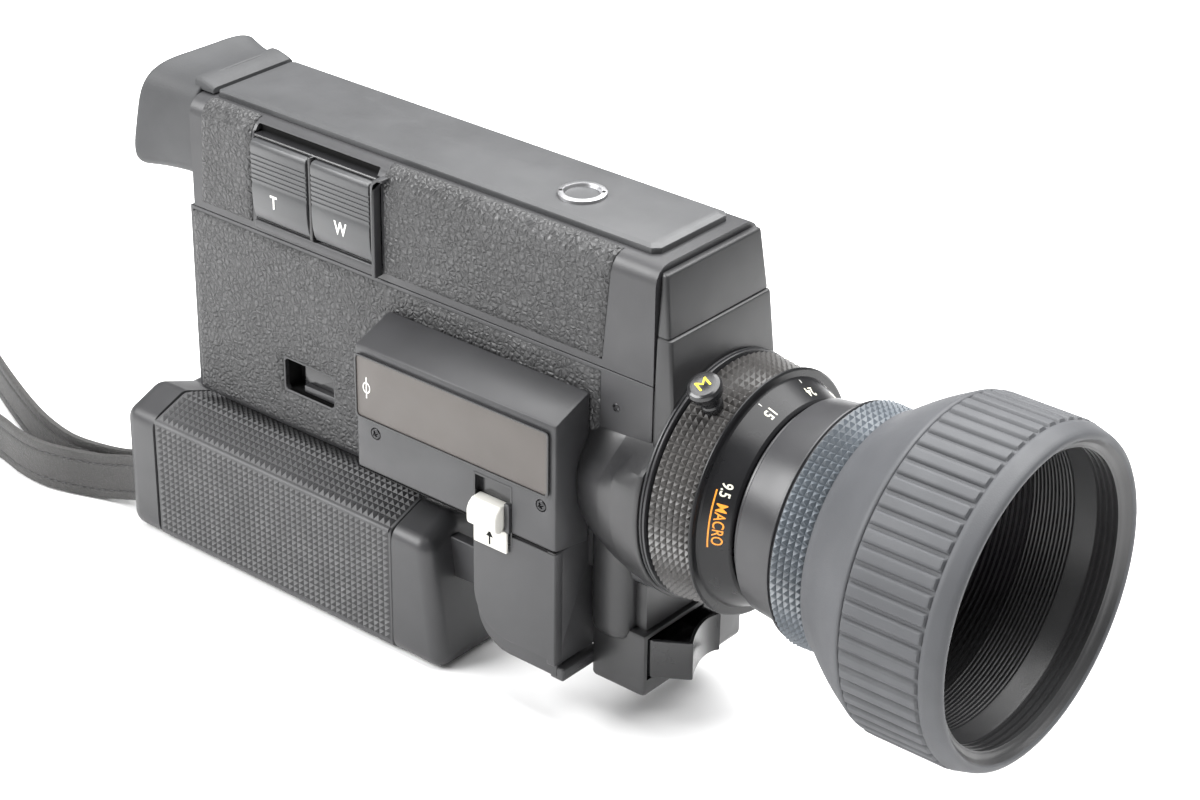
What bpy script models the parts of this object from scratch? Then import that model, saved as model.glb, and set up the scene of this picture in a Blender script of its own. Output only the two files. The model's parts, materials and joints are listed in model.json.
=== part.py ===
"""A hand-held 8 mm cine camera with its grip folded under the body.

+X runs along the lens axis towards the subject, -Y is the operator's right, +Z is up.
The drawing's lengths are millimetres from the body's front wall (x), its middle (y) and just under
the grip (z). DATUM moves them to the object's own origin, on the grip's base, in Blender's metres.
"""

import math

import bmesh
import bpy
from mathutils import Matrix, Vector

MM = 0.001
GAP = 0.3
DATUM = Vector((120.0, 0.0, -0.6)) * MM

# The body
AXIS_Z = 71.0
BODY_BACK = -159.6
COVER_BACK = -158.0
BODY_FRONT = 0.0
BODY_FLOOR = 43.2
BODY_TOP = 131.3
SHELL_HALF = 19.8
WALL = 1.7
TOP_RADIUS = 5.0
FLOOR_RADIUS = 3.0
SEAM_RIGHT = 100.0
SEAM_LEFT = 118.6
LEATHER = 0.6
LEATHER_Y = -(SHELL_HALF + 0.1)

# The side housing and the arm that carries the grip
HOUSING_Y = -33.75
HOUSING_BACK = -85.5
HOUSING_FRONT = -18.4
HOUSING_ROOT = LEATHER_Y - LEATHER - GAP
ARM_THICK = 3.4
HINGE_X = -31.5
HINGE_Z = 33.3
HINGE_R = 3.0

# The grip
GRIP_Y = -33.9
GRIP_FAR_Y = 9.0
GRIP_FLOOR = 0.6
GRIP_CREASE = 37.8
GRIP_RIDGE_Y = -21.6
GRIP_TOP = 42.5
SLEEVE_BACK = -164.4
SLEEVE_FRONT = -74.7
GRIP_BACK = -177.0
GRIP_FRONT = -61.8
FRONT_SLANT = 0.13

# The wrist strap, as the middle of a band that stands on its edge
STRAP_BAR = (-171.0, -26.3)
STRAP_WIDTH = 14.4
STRAP_THICK = 2.0
STRAP_ROUTE = [
    (-170.0, -28.5, 13.1), (-176.0, -28.4, 12.6), (-183.2, -28.2, 10.4), (-193.0, -30.2, 8.2), (-204.0, -34.2, 8.1),
    (-212.0, -36.0, 8.1), (-221.5, -35.8, 8.1), (-233.3, -33.6, 8.1), (-254.0, -31.8, 8.1), (-276.0, -31.6, 8.1),
    (-296.0, -31.8, 8.1), (-316.0, -29.6, 8.1), (-332.0, -22.6, 8.1), (-340.6, -9.0, 8.1), (-338.4, 6.0, 8.1),
    (-327.0, 15.4, 8.1), (-311.0, 15.0, 8.1), (-295.0, 7.6, 8.1), (-280.0, -0.6, 8.1), (-262.8, -9.0, 8.1),
    (-243.6, -17.2, 8.1), (-227.5, -23.2, 8.1), (-215.0, -26.4, 8.1), (-204.8, -27.2, 8.1), (-193.0, -25.0, 8.3),
    (-183.2, -24.2, 10.4), (-176.0, -24.2, 12.6), (-170.0, -24.1, 13.1),
]

# The lens
ZOOM_BACK = 8.3
ZOOM_FRONT = 21.6
FOCUS_BACK = 44.0
FOCUS_FRONT = 53.0
HOOD_RIB_BACK = 71.7
HOOD_RIB_FRONT = 94.0
HOOD_LIP = 99.0
HOOD_R = 43.1
KNOB_LEAN = 28.9
LENS_STEPS = 64

# The film chamber
CARTRIDGE = (75.6, 24.0, 69.0)
CARTRIDGE_FRONT = -80.4
DOOR = (-156.2, -74.0, 46.6, 117.0)
SPINDLE = (-118.0, 80.5)


def material(name, colour, roughness=0.5, metallic=0.0):
    made = bpy.data.materials.new(name)
    made.use_nodes = True
    shader = made.node_tree.nodes["Principled BSDF"]
    shader.inputs["Base Color"].default_value = (*colour, 1.0)
    shader.inputs["Roughness"].default_value = roughness
    shader.inputs["Metallic"].default_value = metallic
    return made


BLACK = ((0.012, 0.012, 0.013), 0.42)
DARK = ((0.03, 0.03, 0.032), 0.5)
RUBBER = ((0.045, 0.046, 0.05), 0.8)
HIDE = ((0.02, 0.02, 0.022), 0.7)
STEEL = ((0.6, 0.6, 0.6), 0.3, 1.0)
BRASS = ((0.7, 0.5, 0.2), 0.35, 1.0)
GLASS = ((0.05, 0.05, 0.09), 0.05)
IVORY = ((0.8, 0.76, 0.66), 0.4)
BRONZE = ((0.16, 0.14, 0.12), 0.45)
YELLOW = ((0.75, 0.6, 0.1), 0.5)
GREEN = ((0.05, 0.25, 0.1), 0.5)


def add(name, mesh_source, look):
    mesh = bpy.data.meshes.new(name)
    bmesh.ops.recalc_face_normals(mesh_source, faces=mesh_source.faces)
    bmesh.ops.translate(mesh_source, verts=mesh_source.verts, vec=DATUM)
    mesh_source.to_mesh(mesh)
    mesh_source.free()
    obj = bpy.data.objects.new(name, mesh)
    bpy.context.scene.collection.objects.link(obj)
    if look:
        mesh.materials.append(material(name, *look))
    return obj


def pivot(name, point):
    """Puts a moving piece's origin on its joint."""
    obj = bpy.data.objects[name]
    place = DATUM + Vector(point) * MM
    obj.data.transform(Matrix.Translation(-place))
    obj.matrix_world = Matrix.Translation(place)


def bevel(obj, width, segments=2, angle=40):
    modifier = obj.modifiers.new("Bevel", "BEVEL")
    modifier.width = width * MM
    modifier.segments = segments
    modifier.limit_method = "ANGLE"
    modifier.angle_limit = math.radians(angle)
    return obj


def box(name, low, high, look=None, edge=0.0, segments=1):
    shape = bmesh.new()
    bmesh.ops.create_cube(shape, size=1.0)
    for vert in shape.verts:
        vert.co = Vector([(low[i] + (high[i] - low[i]) * (vert.co[i] + 0.5)) * MM for i in range(3)])
    obj = add(name, shape, look)
    return bevel(obj, edge, segments) if edge else obj


def prism(name, outline, start, end, axis, look=None):
    """The outline's two coordinates are the remaining axes in alphabetical order."""
    others = [i for i in range(3) if i != axis]
    shape = bmesh.new()
    ends = []
    for level in (start, end):
        ring = []
        for pair in outline:
            point = [0.0, 0.0, 0.0]
            point[axis] = level * MM
            point[others[0]] = pair[0] * MM
            point[others[1]] = pair[1] * MM
            ring.append(shape.verts.new(point))
        ends.append(ring)
    count = len(outline)
    shape.faces.new(ends[0])
    shape.faces.new(ends[1][::-1])
    for i in range(count):
        j = (i + 1) % count
        shape.faces.new((ends[0][i], ends[0][j], ends[1][j], ends[1][i]))
    return add(name, shape, look)


def loft(name, rings, look=None):
    """Joins rings of equal point count, each a list of x, y, z in millimetres, and caps both ends."""
    shape = bmesh.new()
    made = [[shape.verts.new([c * MM for c in point]) for point in ring] for ring in rings]
    count = len(rings[0])
    shape.faces.new(made[0])
    shape.faces.new(made[-1][::-1])
    for first, second in zip(made, made[1:]):
        for i in range(count):
            j = (i + 1) % count
            shape.faces.new((first[i], first[j], second[j], second[i]))
    return add(name, shape, look)


def turned(name, profile, centre, look=None, axis=0, steps=LENS_STEPS):
    """Turns a profile of (distance along the axis, radius) pairs, in order round its outline."""
    shape = bmesh.new()
    turn = {0: Matrix.Identity(3), 1: Matrix.Rotation(math.radians(90), 3, "Z"), 2: Matrix.Rotation(math.radians(-90), 3, "Y")}[axis]
    middle = Vector(centre)
    rings = []
    for along, radius in profile:
        count = steps if radius > 0 else 1
        ring = []
        for step in range(count):
            angle = 2 * math.pi * step / steps
            point = turn @ Vector((along, radius * math.cos(angle), radius * math.sin(angle)))
            ring.append(shape.verts.new((point + middle) * MM))
        rings.append(ring)
    closed = rings + [rings[0]] if profile[0][1] > 0 else rings
    for first, second in zip(closed, closed[1:]):
        for i in range(steps):
            j = (i + 1) % steps
            corners = [first[i % len(first)], first[j % len(first)], second[j % len(second)], second[i % len(second)]]
            corners = list(dict.fromkeys(corners))
            if len(corners) > 2:
                shape.faces.new(corners)
    return add(name, shape, look)


def disc(name, start, end, radius, centre, look=None, axis=0, steps=32, edge=0.0):
    profile = [(start, 0), (start, radius - edge), (start + edge, radius), (end - edge, radius), (end, radius - edge), (end, 0)]
    if not edge:
        profile = [(start, 0), (start, radius), (end, radius), (end, 0)]
    return turned(name, profile, centre, look, axis, steps)


def ring(name, start, end, outer, inner, centre, look=None, axis=0, steps=LENS_STEPS):
    return turned(name, [(start, inner), (start, outer), (end, outer), (end, inner)], centre, look, axis, steps)


def combine(target, operation, *tools):
    for tool in tools:
        if tool.name not in CUTTERS.objects:
            CUTTERS.objects.link(tool)
            bpy.context.scene.collection.objects.unlink(tool)
        tool.hide_render = True
        tool.display_type = "WIRE"
        modifier = target.modifiers.new(tool.name, "BOOLEAN")
        modifier.operation = operation
        modifier.solver = "EXACT"
        modifier.object = tool
    return target


def subtract(target, *tools):
    return combine(target, "DIFFERENCE", *tools)


def unite(target, *tools):
    return combine(target, "UNION", *tools)


def inside(target, tool):
    return combine(target, "INTERSECT", tool)


def arc(centre, radius, start, end, count):
    """Points on an arc in a plane, with angles in degrees."""
    points = []
    for step in range(count + 1):
        angle = math.radians(start + (end - start) * step / count)
        points.append((centre[0] + radius * math.cos(angle), centre[1] + radius * math.sin(angle)))
    return points


def body_section(inset, top_inset):
    """The body's cross-section in y and z, drawn in by inset."""
    half = SHELL_HALF - inset
    floor = BODY_FLOOR + inset
    top = BODY_TOP - top_inset
    high = max(TOP_RADIUS - inset, 1.0)
    low = max(FLOOR_RADIUS - inset, 1.0)
    return (
        arc((-half + low, floor + low), low, 270, 180, 3)
        + arc((-half + high, top - high), high, 180, 90, 4)
        + arc((half - high, top - high), high, 90, 0, 4)
        + arc((half - low, floor + low), low, 0, -90, 3)
    )


def lens_centre(along=0.0):
    return (along, 0.0, AXIS_Z)


def body():
    """The two castings: the lower one holds the film chamber, the upper one the finder and the zoom keys."""
    chamber = prism("chamber_space", body_section(WALL, WALL), BODY_BACK + WALL, BODY_FRONT - WALL, 0)
    over_seam = prism(
        "over_seam",
        [(-40, SEAM_RIGHT), (-1, SEAM_RIGHT), (-1, SEAM_LEFT), (40, SEAM_LEFT), (40, 160), (-40, 160)],
        -200, 50, 0,
    )
    lens_hole = disc("lens_hole", -10, 10, 17.0, lens_centre(), steps=40)
    lower = prism("lower_body", body_section(0, 0), BODY_BACK, BODY_FRONT, 0, BLACK)
    door_hole = box("door_hole", (DOOR[0], 10, DOOR[2]), (DOOR[1], 30, DOOR[3]))
    notch = box("notch_hole", (-125.6, -30, 56.0), (-107.6, -10, 65.2), edge=0.8)
    back_corner = box("back_corner", (-200, -2, SEAM_RIGHT), (BODY_BACK + WALL + 0.6, 40, 130))
    subtract(lower, chamber, over_seam, back_corner, lens_hole, door_hole, notch)

    cover_space = prism("cover_space", body_section(WALL, WALL), COVER_BACK + WALL, BODY_FRONT - WALL, 0)
    under_seam = prism(
        "under_seam",
        [(-40, SEAM_RIGHT + GAP), (-1 - GAP, SEAM_RIGHT + GAP), (-1 - GAP, SEAM_LEFT + GAP), (40, SEAM_LEFT + GAP), (40, 20), (-40, 20)],
        -200, 50, 0,
    )
    cover = prism("upper_cover", body_section(0, 0), COVER_BACK, BODY_FRONT, 0, BLACK)
    eyepiece_hole = disc("eyepiece_hole", -170, -150, 10.0, (0, 0, 116.5), steps=32)
    key_hole = box("key_hole", (-133.8, -30, 103.4), (-88.4, -10, 128.4))
    subtract(cover, cover_space, under_seam, key_hole)
    back_wall = box("cover_back_wall", (COVER_BACK, -8, SEAM_RIGHT + GAP), (COVER_BACK + WALL, 16.0, 125))
    unite(cover, back_wall)
    subtract(cover, eyepiece_hole)


def top_plate():
    plate = prism(
        "top_plate",
        [(-153, -13.2), (-152, -14.1), (-6, -14.1), (-4.3, -12.4), (-4.3, 12.4), (-6, 14.1), (-152, 14.1), (-153, 13.2)],
        BODY_TOP + GAP, 133.3, 2, DARK,
    )
    bevel(plate, 0.7, 1)
    socket = disc("socket_hole", 120, 140, 6.6, (-37.4, -2.1, 0), axis=2, steps=32)
    subtract(plate, socket)
    cover_pocket = disc("socket_pocket", 128, 140, 6.6, (-37.4, -2.1, 0), axis=2, steps=32)
    subtract(bpy.data.objects["upper_cover"], cover_pocket)
    turned(
        "socket_ring",
        [(129.6, 0), (129.6, 6.3), (134.0, 6.3), (134.2, 6.0), (134.2, 4.6), (131.4, 4.3), (131.4, 0)],
        (-37.4, -2.1, 0), STEEL, axis=2, steps=40,
    )


def wrap_panel(name, corners, look):
    """A leather panel that starts on the right side and wraps over the rounded top edge."""
    low_back, low_front, high_back, high_front = corners
    half = SHELL_HALF + 0.1
    centre = (-half + TOP_RADIUS, BODY_TOP + 0.1 - TOP_RADIUS)
    outer = [(-half - LEATHER, 102.4)] + arc(centre, TOP_RADIUS + LEATHER, 180, 97, 5)
    inner = [(-half, 102.4)] + arc(centre, TOP_RADIUS, 180, 97, 5)
    section = outer + inner[::-1]
    low = min(z for _, z in section)
    high = max(z for _, z in section)
    rings = []
    for low_x, high_x in ((low_back, high_back), (low_front, high_front)):
        rings.append([(low_x + (high_x - low_x) * (z - low) / (high - low), y, z) for y, z in section])
    loft(name, rings, look)


def leather():
    wrap_panel("leather_upper_rear", (-154.6, -135.4, -152.9, -134.4), HIDE)
    wrap_panel("leather_upper_front", (-88.0, -15.9, -87.4, -13.0), HIDE)
    side = box("leather_lower", (BODY_BACK + 1.2, LEATHER_Y - LEATHER, BODY_FLOOR + 2.4), (-0.6, LEATHER_Y, 99.0), HIDE)
    hole = box("leather_hole", (-126.2, -30, 55.4), (-107.0, -10, 65.8), edge=1.0)
    subtract(side, hole)
    box("leather_left", (-72.6, -LEATHER_Y, BODY_FLOOR + 2.4), (-0.6, -LEATHER_Y + LEATHER, 117.4), HIDE)


def front_plate():
    """The sloped plate over the lens: it leans forward and widens on its way down."""
    rings = []
    for z, front, half in ((129.6, 2.4, 18.2), (111.5, 4.6, 19.6), (96.0, 6.0, 20.4)):
        rings.append([(GAP, -half, z), (front, -half, z), (front, half, z), (GAP, half, z)])
    plate = loft("front_plate", rings, DARK)
    bevel(plate, 0.8, 2)
    clearance = disc("front_plate_clearance", -5, 20, 33.0, lens_centre())
    subtract(plate, clearance)


def zoom_keys():
    surround = box("key_surround", (-133.4, -20.2, 103.7), (-88.8, -12.0, 128.1), BLACK, 0.3)
    pocket_t = box("key_pocket_t", (-133.1, -30, 104.3), (-112.5, -13.5, 127.4))
    pocket_w = box("key_pocket_w", (-111.3, -30, 104.3), (-90.2, -13.5, 127.4))
    subtract(surround, pocket_t, pocket_w)
    for name, start, end in (("key_t", -132.8, -112.8), ("key_w", -111.0, -90.5)):
        section = [(-21.6, 106.4), (-22.2, 112.0), (-22.2, 125.6), (-21.0, 127.1), (-17.0, 127.1), (-17.0, 104.6), (-19.2, 104.6)]
        key = prism(name, section, start, end, 0, BLACK)
        bevel(key, 0.35, 1)


def side_housing():
    outline = [
        (HOUSING_ROOT, 93.2), (HOUSING_Y, 88.4), (HOUSING_Y, 53.0), (HOUSING_ROOT, 50.5),
    ]
    housing = prism("side_housing", outline, HOUSING_BACK, HOUSING_FRONT, 0, BLACK)
    bevel(housing, 0.9, 2)
    hollow = prism(
        "housing_space",
        [(-20, 90.2), (-31.2, 86.0), (-31.2, 55.0), (-20, 53.6)],
        HOUSING_BACK + 2.4, HOUSING_FRONT - 2.4, 0,
    )
    slot = box("slide_slot", (-45.0, -40, 50.0), (-32.6, -31.6, 66.4), edge=0.6)
    slit = box("slide_slit", (-41.4, -40, 55.2), (-36.0, -29, 63.6))
    subtract(housing, hollow, slot, slit)
    for name, x, z in (("housing_screw_rear", -78.7, 64.8), ("housing_screw_front", -23.0, 65.0)):
        hole = disc(name + "_hole", -40, -28, 1.7, (x, 0, z), axis=1, steps=16)
        subtract(housing, hole)
        screw = turned(
            name,
            [(HOUSING_Y - 0.2, 0), (HOUSING_Y - 0.2, 1.0), (HOUSING_Y, 1.45), (-29.6, 1.45), (-29.6, 0)],
            (x, 0, z), STEEL, axis=1, steps=16,
        )
    label = prism(
        "label_plate",
        rounded_rectangle(-84.3, -20.5, 68.9, 86.1, 1.4),
        HOUSING_Y - 0.35, HOUSING_Y - 0.95, 1, BRONZE,
    )
    return label


def rounded_rectangle(left, right, low, high, radius, count=3):
    return (
        arc((right - radius, high - radius), radius, 0, 90, count)
        + arc((left + radius, high - radius), radius, 90, 180, count)
        + arc((left + radius, low + radius), radius, 180, 270, count)
        + arc((right - radius, low + radius), radius, 270, 360, count)
    )


def slide():
    """The ivory slide that frees the grip: a thumb cap with a flat tab under it, on a shank through the housing."""
    outline = [
        (-37.6, 54.6), (-37.6, 57.8), (-35.6, 60.6), (-32.0, 60.6), (-32.0, 54.0), (-34.05, 54.0), (-34.05, 47.4),
        (-35.0, 47.4), (-35.0, 53.0), (-36.4, 53.0),
    ]
    cap = prism("grip_slide", outline, -44.6, -33.0, 0, IVORY)
    bevel(cap, 0.35, 1)
    shank = box("slide_shank", (-41.0, -33.0, 55.6), (-36.4, -28.0, 59.6))
    unite(cap, shank)


def arm():
    outline = arc((-34.0, 32.6), 11.6, 180, 270, 5) + [(-18.4, 21.0), (-18.4, 52.4), (-45.6, 52.4)]
    plate = prism("arm_plate", outline, HOUSING_Y, HOUSING_Y + ARM_THICK, 1, BLACK)
    bevel(plate, 0.6, 1)
    disc("grip_pin", -30.0, -5.6, HINGE_R, (HINGE_X, 0, HINGE_Z), STEEL, axis=1, steps=24)
    bracket = box("grip_bracket", (-46.0, -20.2, 20.0), (-19.0, -5.0, 42.8), BLACK, 0.8)
    hole = disc("bracket_hole", -22, 0, HINGE_R + GAP, (HINGE_X, 0, HINGE_Z), axis=1, steps=24)
    subtract(bracket, hole)


def lens_mount():
    profile = [(-18.0, 18.0), (-18.0, 26.4), (-13.0, 28.4), (-7.0, 30.6), (0.0, 32.4), (6.0, 32.9), (6.0, 28.6), (-5.0, 28.6), (-9.0, 18.0)]
    shell = turned("lens_mount_shell", profile, lens_centre(), BLACK)
    body_space = box("mount_body_space", (-40, LEATHER_Y - LEATHER - 0.25, 0), (GAP, -LEATHER_Y + LEATHER + 0.25, 140))
    roof = box("mount_roof_space", (-40, -50, 84.6), (GAP, 50, 120))
    subtract(shell, body_space, roof)
    turned("lens_flange", [(6.3, 23.0), (6.3, 33.6), (7.6, 33.6), (8.0, 33.0), (8.0, 23.0)], lens_centre(), BLACK)


def lens():
    turned(
        "zoom_ring",
        [
            (1.4, 17.6), (1.4, 20.5), (7.0, 20.5), (7.0, 22.4), (ZOOM_BACK, 22.4), (ZOOM_BACK, 31.2), (9.1, 32.0), (20.2, 30.7),
            (20.2, 30.2), (20.7, 30.2), (20.7, 31.4), (21.0, 31.8), (21.4, 31.8), (ZOOM_FRONT, 31.4), (ZOOM_FRONT, 29.6),
            (22.1, 29.3), (28.8, 26.3), (29.4, 25.6), (29.4, 17.6),
        ],
        lens_centre(), BLACK,
    )
    knob = turned(
        "macro_knob",
        [(32.6, 0), (32.6, 2.4), (36.0, 2.4), (36.6, 4.1), (38.8, 4.4), (39.6, 3.8), (39.8, 0)],
        (0, 0, 0), BLACK, axis=2, steps=24,
    )
    lean = Matrix.Translation(DATUM + Vector(lens_centre(14.4)) * MM) @ Matrix.Rotation(math.radians(KNOB_LEAN), 4, "X")
    knob.data.transform(lean @ Matrix.Translation(-DATUM))
    turned(
        "lens_barrel",
        [(-1.4, 13.0), (-1.4, 16.6), (29.8, 16.6), (29.8, 25.6), (49.0, 25.6), (49.0, 23.0), (33.0, 23.0), (33.0, 13.0)],
        lens_centre(), BLACK,
    )
    focus = turned(
        "focus_ring",
        [
            (31.6, 26.0), (31.6, 27.4), (42.6, 28.8), (42.6, 31.0), (FOCUS_BACK, 31.4), (FOCUS_FRONT, 31.0), (53.4, 30.4),
            (60.0, 30.4), (60.0, 28.4), (50.0, 28.4), (50.0, 26.0),
        ],
        lens_centre(), BLACK,
    )
    turned(
        "rubber_hood",
        [
            (53.8, 30.8), (53.8, 32.0), (56.0, 33.2), (70.6, 42.4), (HOOD_RIB_BACK, 43.0), (73.0, HOOD_R), (HOOD_RIB_FRONT, 42.9),
            (95.4, 41.4), (97.6, 41.2), (HOOD_LIP, 40.5), (HOOD_LIP, 39.2), (97.6, 36.4), (96.0, 36.0), (76.0, 38.2), (70.6, 38.6),
            (60.4, 32.4), (60.4, 30.8),
        ],
        lens_centre(), RUBBER,
    )
    turned(
        "front_lens_ring",
        [(50.4, 20.0), (50.4, 28.0), (64.0, 28.0), (64.0, 27.0), (54.0, 25.4), (53.0, 22.6), (52.0, 20.0)],
        lens_centre(), BLACK,
    )
    lens_disc("front_glass", 43.0, 49.4, 22.6, 6.0, 2.0)
    lens_disc("rear_glass", 2.0, 6.0, 12.6, 1.2, 0.4)
    return focus


def lens_disc(name, start, end, radius, front_bulge, back_bulge):
    profile = []
    count = 4
    for step in range(count + 1):
        part = step / count
        profile.append((start - back_bulge * (1 - part**2) * 0.5 + 0.5 * back_bulge * 0, radius * part))
    for step in range(count + 1):
        part = 1 - step / count
        profile.append((end - front_bulge * 0.5 * part**2, radius * part))
    profile[0] = (profile[0][0], 0)
    profile[-1] = (profile[-1][0], 0)
    return turned(name, profile, lens_centre(), GLASS, steps=40)


def front_block():
    """The foot in front of the grip: it holds the tripod bush and the trigger."""
    block = box("front_block", (-17.6, -20.2, 11.6), (-0.4, 20.2, 29.8), BLACK, 1.2, 2)
    neck = box("block_neck", (-16.0, -17.6, 29.0), (-2.0, 17.6, 42.9))
    post = disc("block_post", 29.0, 42.9, 5.5, (-12.7, -14.8, 0), axis=2, steps=24)
    unite(block, neck, post)
    pocket = box("trigger_pocket", (-7.0, -19.0, 16.4), (5, 3.6, 28.6))
    well = disc("tripod_well", 5, 24.2, 5.3, (-11.9, 9.5, 0), axis=2, steps=32)
    subtract(block, pocket, well)
    turned(
        "tripod_bush",
        [(11.8, 3.1), (11.8, 5.0), (23.9, 5.0), (23.9, 0), (22.6, 0), (22.6, 3.1)][::-1],
        (-11.9, 9.5, 0), STEEL, axis=2, steps=32,
    )
    nose = [(x, y) for x, y in ((10.8 * math.sin(a) + 0.4, -14.0 - 4.5 * math.cos(a)) for a in (math.pi * i / 12 for i in range(13)))]
    trigger = prism("trigger", [(-3.6, -18.5)] + nose + [(-3.6, -9.5)], 17.2, 28.2, 2, DARK)
    hollow = [(x, y) for x, y in ((9.4 * math.sin(a) + 0.4, -14.0 - 3.3 * math.cos(a)) for a in (math.pi * i / 12 for i in range(13)))]
    scoop = prism("trigger_scoop", [(-10, -17.3)] + hollow + [(-10, -10.7)], 18.6, 40, 2)
    subtract(trigger, scoop)


def grip_section(inset):
    """Flat below, and above a low ridge over the near part, with a flat shelf beyond it."""
    near = GRIP_Y + inset
    far = GRIP_FAR_Y - inset
    low = GRIP_FLOOR + inset
    crease = GRIP_CREASE - 0.7 * inset
    return (
        arc((near + 2.4, low + 2.4), 2.4, 270, 180, 2)
        + [(near, crease), (GRIP_RIDGE_Y, GRIP_TOP - inset), (2 * GRIP_RIDGE_Y - GRIP_Y, GRIP_CREASE - inset)]
        + arc((far - 3, GRIP_CREASE - inset - 3), 3, 80, 0, 2)
        + arc((far - 4, low + 4), 4, 0, -90, 3)
    )


def grip():
    shell_inset = 2.3
    shell = prism("grip_shell", grip_section(shell_inset), SLEEVE_BACK + 0.4, SLEEVE_FRONT + 3.0, 0, BLACK)
    space = prism("grip_space", grip_section(shell_inset + 1.5), -170, SLEEVE_FRONT + 1.4, 0)
    subtract(shell, space)
    sleeve = prism("grip_sleeve", grip_section(0), SLEEVE_BACK, SLEEVE_FRONT, 0, RUBBER)
    bore = prism("sleeve_space", grip_section(2.0), -190, -50, 0)
    subtract(sleeve, bore)

    cap = loft(
        "grip_front_cap",
        [
            [(SLEEVE_FRONT + GAP, y, z) for y, z in grip_section(0.3)],
            [(GRIP_FRONT + (GRIP_CREASE - z) * FRONT_SLANT, y, z) for y, z in grip_section(0.3)],
        ],
        BLACK,
    )
    bevel(cap, 1.0, 2, 60)
    corner = [(GRIP_FRONT + 8.0, -18.0), (-40.0, -18.0), (-40.0, 12.0), (SLEEVE_FRONT + 2.0, 12.0)]
    far_corner = prism("front_cap_corner", corner, -2.0, 50.0, 2)
    subtract(cap, far_corner)
    nest = prism("front_cap_nest", grip_section(2.0), -90, SLEEVE_FRONT + 3.3, 0)
    subtract(cap, nest)
    ear = [(-66.0, 9.0), (-50.0, 10.4), (-22.0, 12.8), (-18.8, 16.0), (-18.8, 39.0), (-22.0, 42.4), (-66.0, 42.2)]
    tongue = prism("grip_tongue", ear, -29.8, -21.2, 1)
    unite(cap, tongue)
    pin_hole = disc("tongue_hole", -60, 0, HINGE_R + GAP, (HINGE_X, 0, HINGE_Z), axis=1, steps=24)
    subtract(cap, pin_hole)

    rear = loft(
        "grip_rear_cap",
        [
            [(SLEEVE_BACK - GAP, y, z) for y, z in grip_section(0.2)],
            [(-172.0, y, z) for y, z in grip_section(0.4)],
            [(-175.6, y, z) for y, z in grip_section(1.6)],
            [(GRIP_BACK, y, z) for y, z in grip_section(3.6)],
        ],
        BLACK,
    )
    slot = box("strap_slot", (-185, -30.0, 4.6), (-168.0, -22.6, 21.6))
    subtract(rear, slot)
    disc("strap_bar", 3.0, 23.2, 1.0, (*STRAP_BAR, 0), STEEL, axis=2, steps=16)
    bar_hole = disc("strap_bar_hole", 2.7, 23.5, 1.3, (*STRAP_BAR, 0), axis=2, steps=16)
    subtract(rear, bar_hole)

    index = 0
    for y, z in ((-20.0, 11.7), (-20.0, 26.5), (-4.9, 11.7), (-4.9, 26.5)):
        index += 1
        turned(
            f"battery_{index}",
            [(-150.0, 0), (-150.0, 7.0), (-100.8, 7.0), (-100.8, 2.7), (-99.6, 2.7), (-99.6, 0)],
            (0, y, z), GREEN, steps=20,
        )


def smooth_route(points, steps):
    """A Catmull-Rom curve through the points, with this many steps from each to the next."""
    knots = [Vector(point) for point in points]
    knots = [2 * knots[0] - knots[1]] + knots + [2 * knots[-1] - knots[-2]]
    route = []
    for a, b, c, d in zip(knots, knots[1:], knots[2:], knots[3:]):
        for step in range(steps):
            t = step / steps
            route.append(
                0.5 * (2 * b + (c - a) * t + (2 * a - 5 * b + 4 * c - d) * t**2 + (3 * b - a - 3 * c + d) * t**3)
            )
    return route + [knots[-2]]


def strap():
    """A flat band on its edge, from one side of the bar in the grip's end and back to the other."""
    route = smooth_route(STRAP_ROUTE, 3)
    rings = []
    for i, point in enumerate(route):
        along = route[min(i + 1, len(route) - 1)] - route[max(i - 1, 0)]
        side = Vector((-along.y, along.x, 0)).normalized() * STRAP_THICK / 2
        tall = Vector((0, 0, STRAP_WIDTH / 2))
        rings.append([tuple(point + side + tall), tuple(point - side + tall)])
        rings[-1] += [tuple(point - side - tall), tuple(point + side - tall)]
    loft("wrist_strap", rings, HIDE)


def eyecup():
    """The rubber cup: a sleeve behind the finder, flared to the back, with a lip over the top plate's end."""
    outer, inner = [], []
    for part in (0.0, 0.3, 0.65, 1.0):
        for target, thick in ((outer, 0.0), (inner, 1.6 + 1.4 * (1 - part))):
            points = []
            for step in range(36):
                angle = 2 * math.pi * (step + 0.5) / 36
                across = math.copysign(abs(math.cos(angle)) ** 0.5, math.cos(angle))
                upward = math.copysign(abs(math.sin(angle)) ** 0.5, math.sin(angle))
                half = 17.6 + 1.4 * part - thick
                middle = 119.7 + (0.8 * across - 0.6) * part
                tall = 15.2 + 1.4 * part**2 - thick
                reach = 17.4 - 5.0 * upward - 3.5 * across
                points.append((COVER_BACK - 0.4 - reach * part, half * across, middle + tall * upward))
            target.append(points)
    cup = loft("eyecup", outer, RUBBER)
    first = [(COVER_BACK - 3.4, y, z) for _, y, z in inner[0]]
    last = [(x - 12.0, y, z) for x, y, z in inner[-1]]
    hollow = loft("eyecup_space", [first] + inner[1:] + [last])
    tube_hole = disc("eyecup_hole", -200, -150, 10.2, (0, 0, 116.5), steps=32)
    lip = box("eyecup_lip", (COVER_BACK - 1.4, -14.6, BODY_TOP + 0.4), (-153.4, 14.6, 135.0))
    subtract(cup, hollow, tube_hole)
    unite(cup, lip)
    ring("eyepiece_tube", -164.0, -156.6, 9.6, 7.6, (0, 0, 116.5), BLACK, steps=32)
    disc("eyepiece_glass", -160.6, -158.0, 7.2, (0, 0, 116.5), GLASS, steps=32, edge=0.4)


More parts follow.
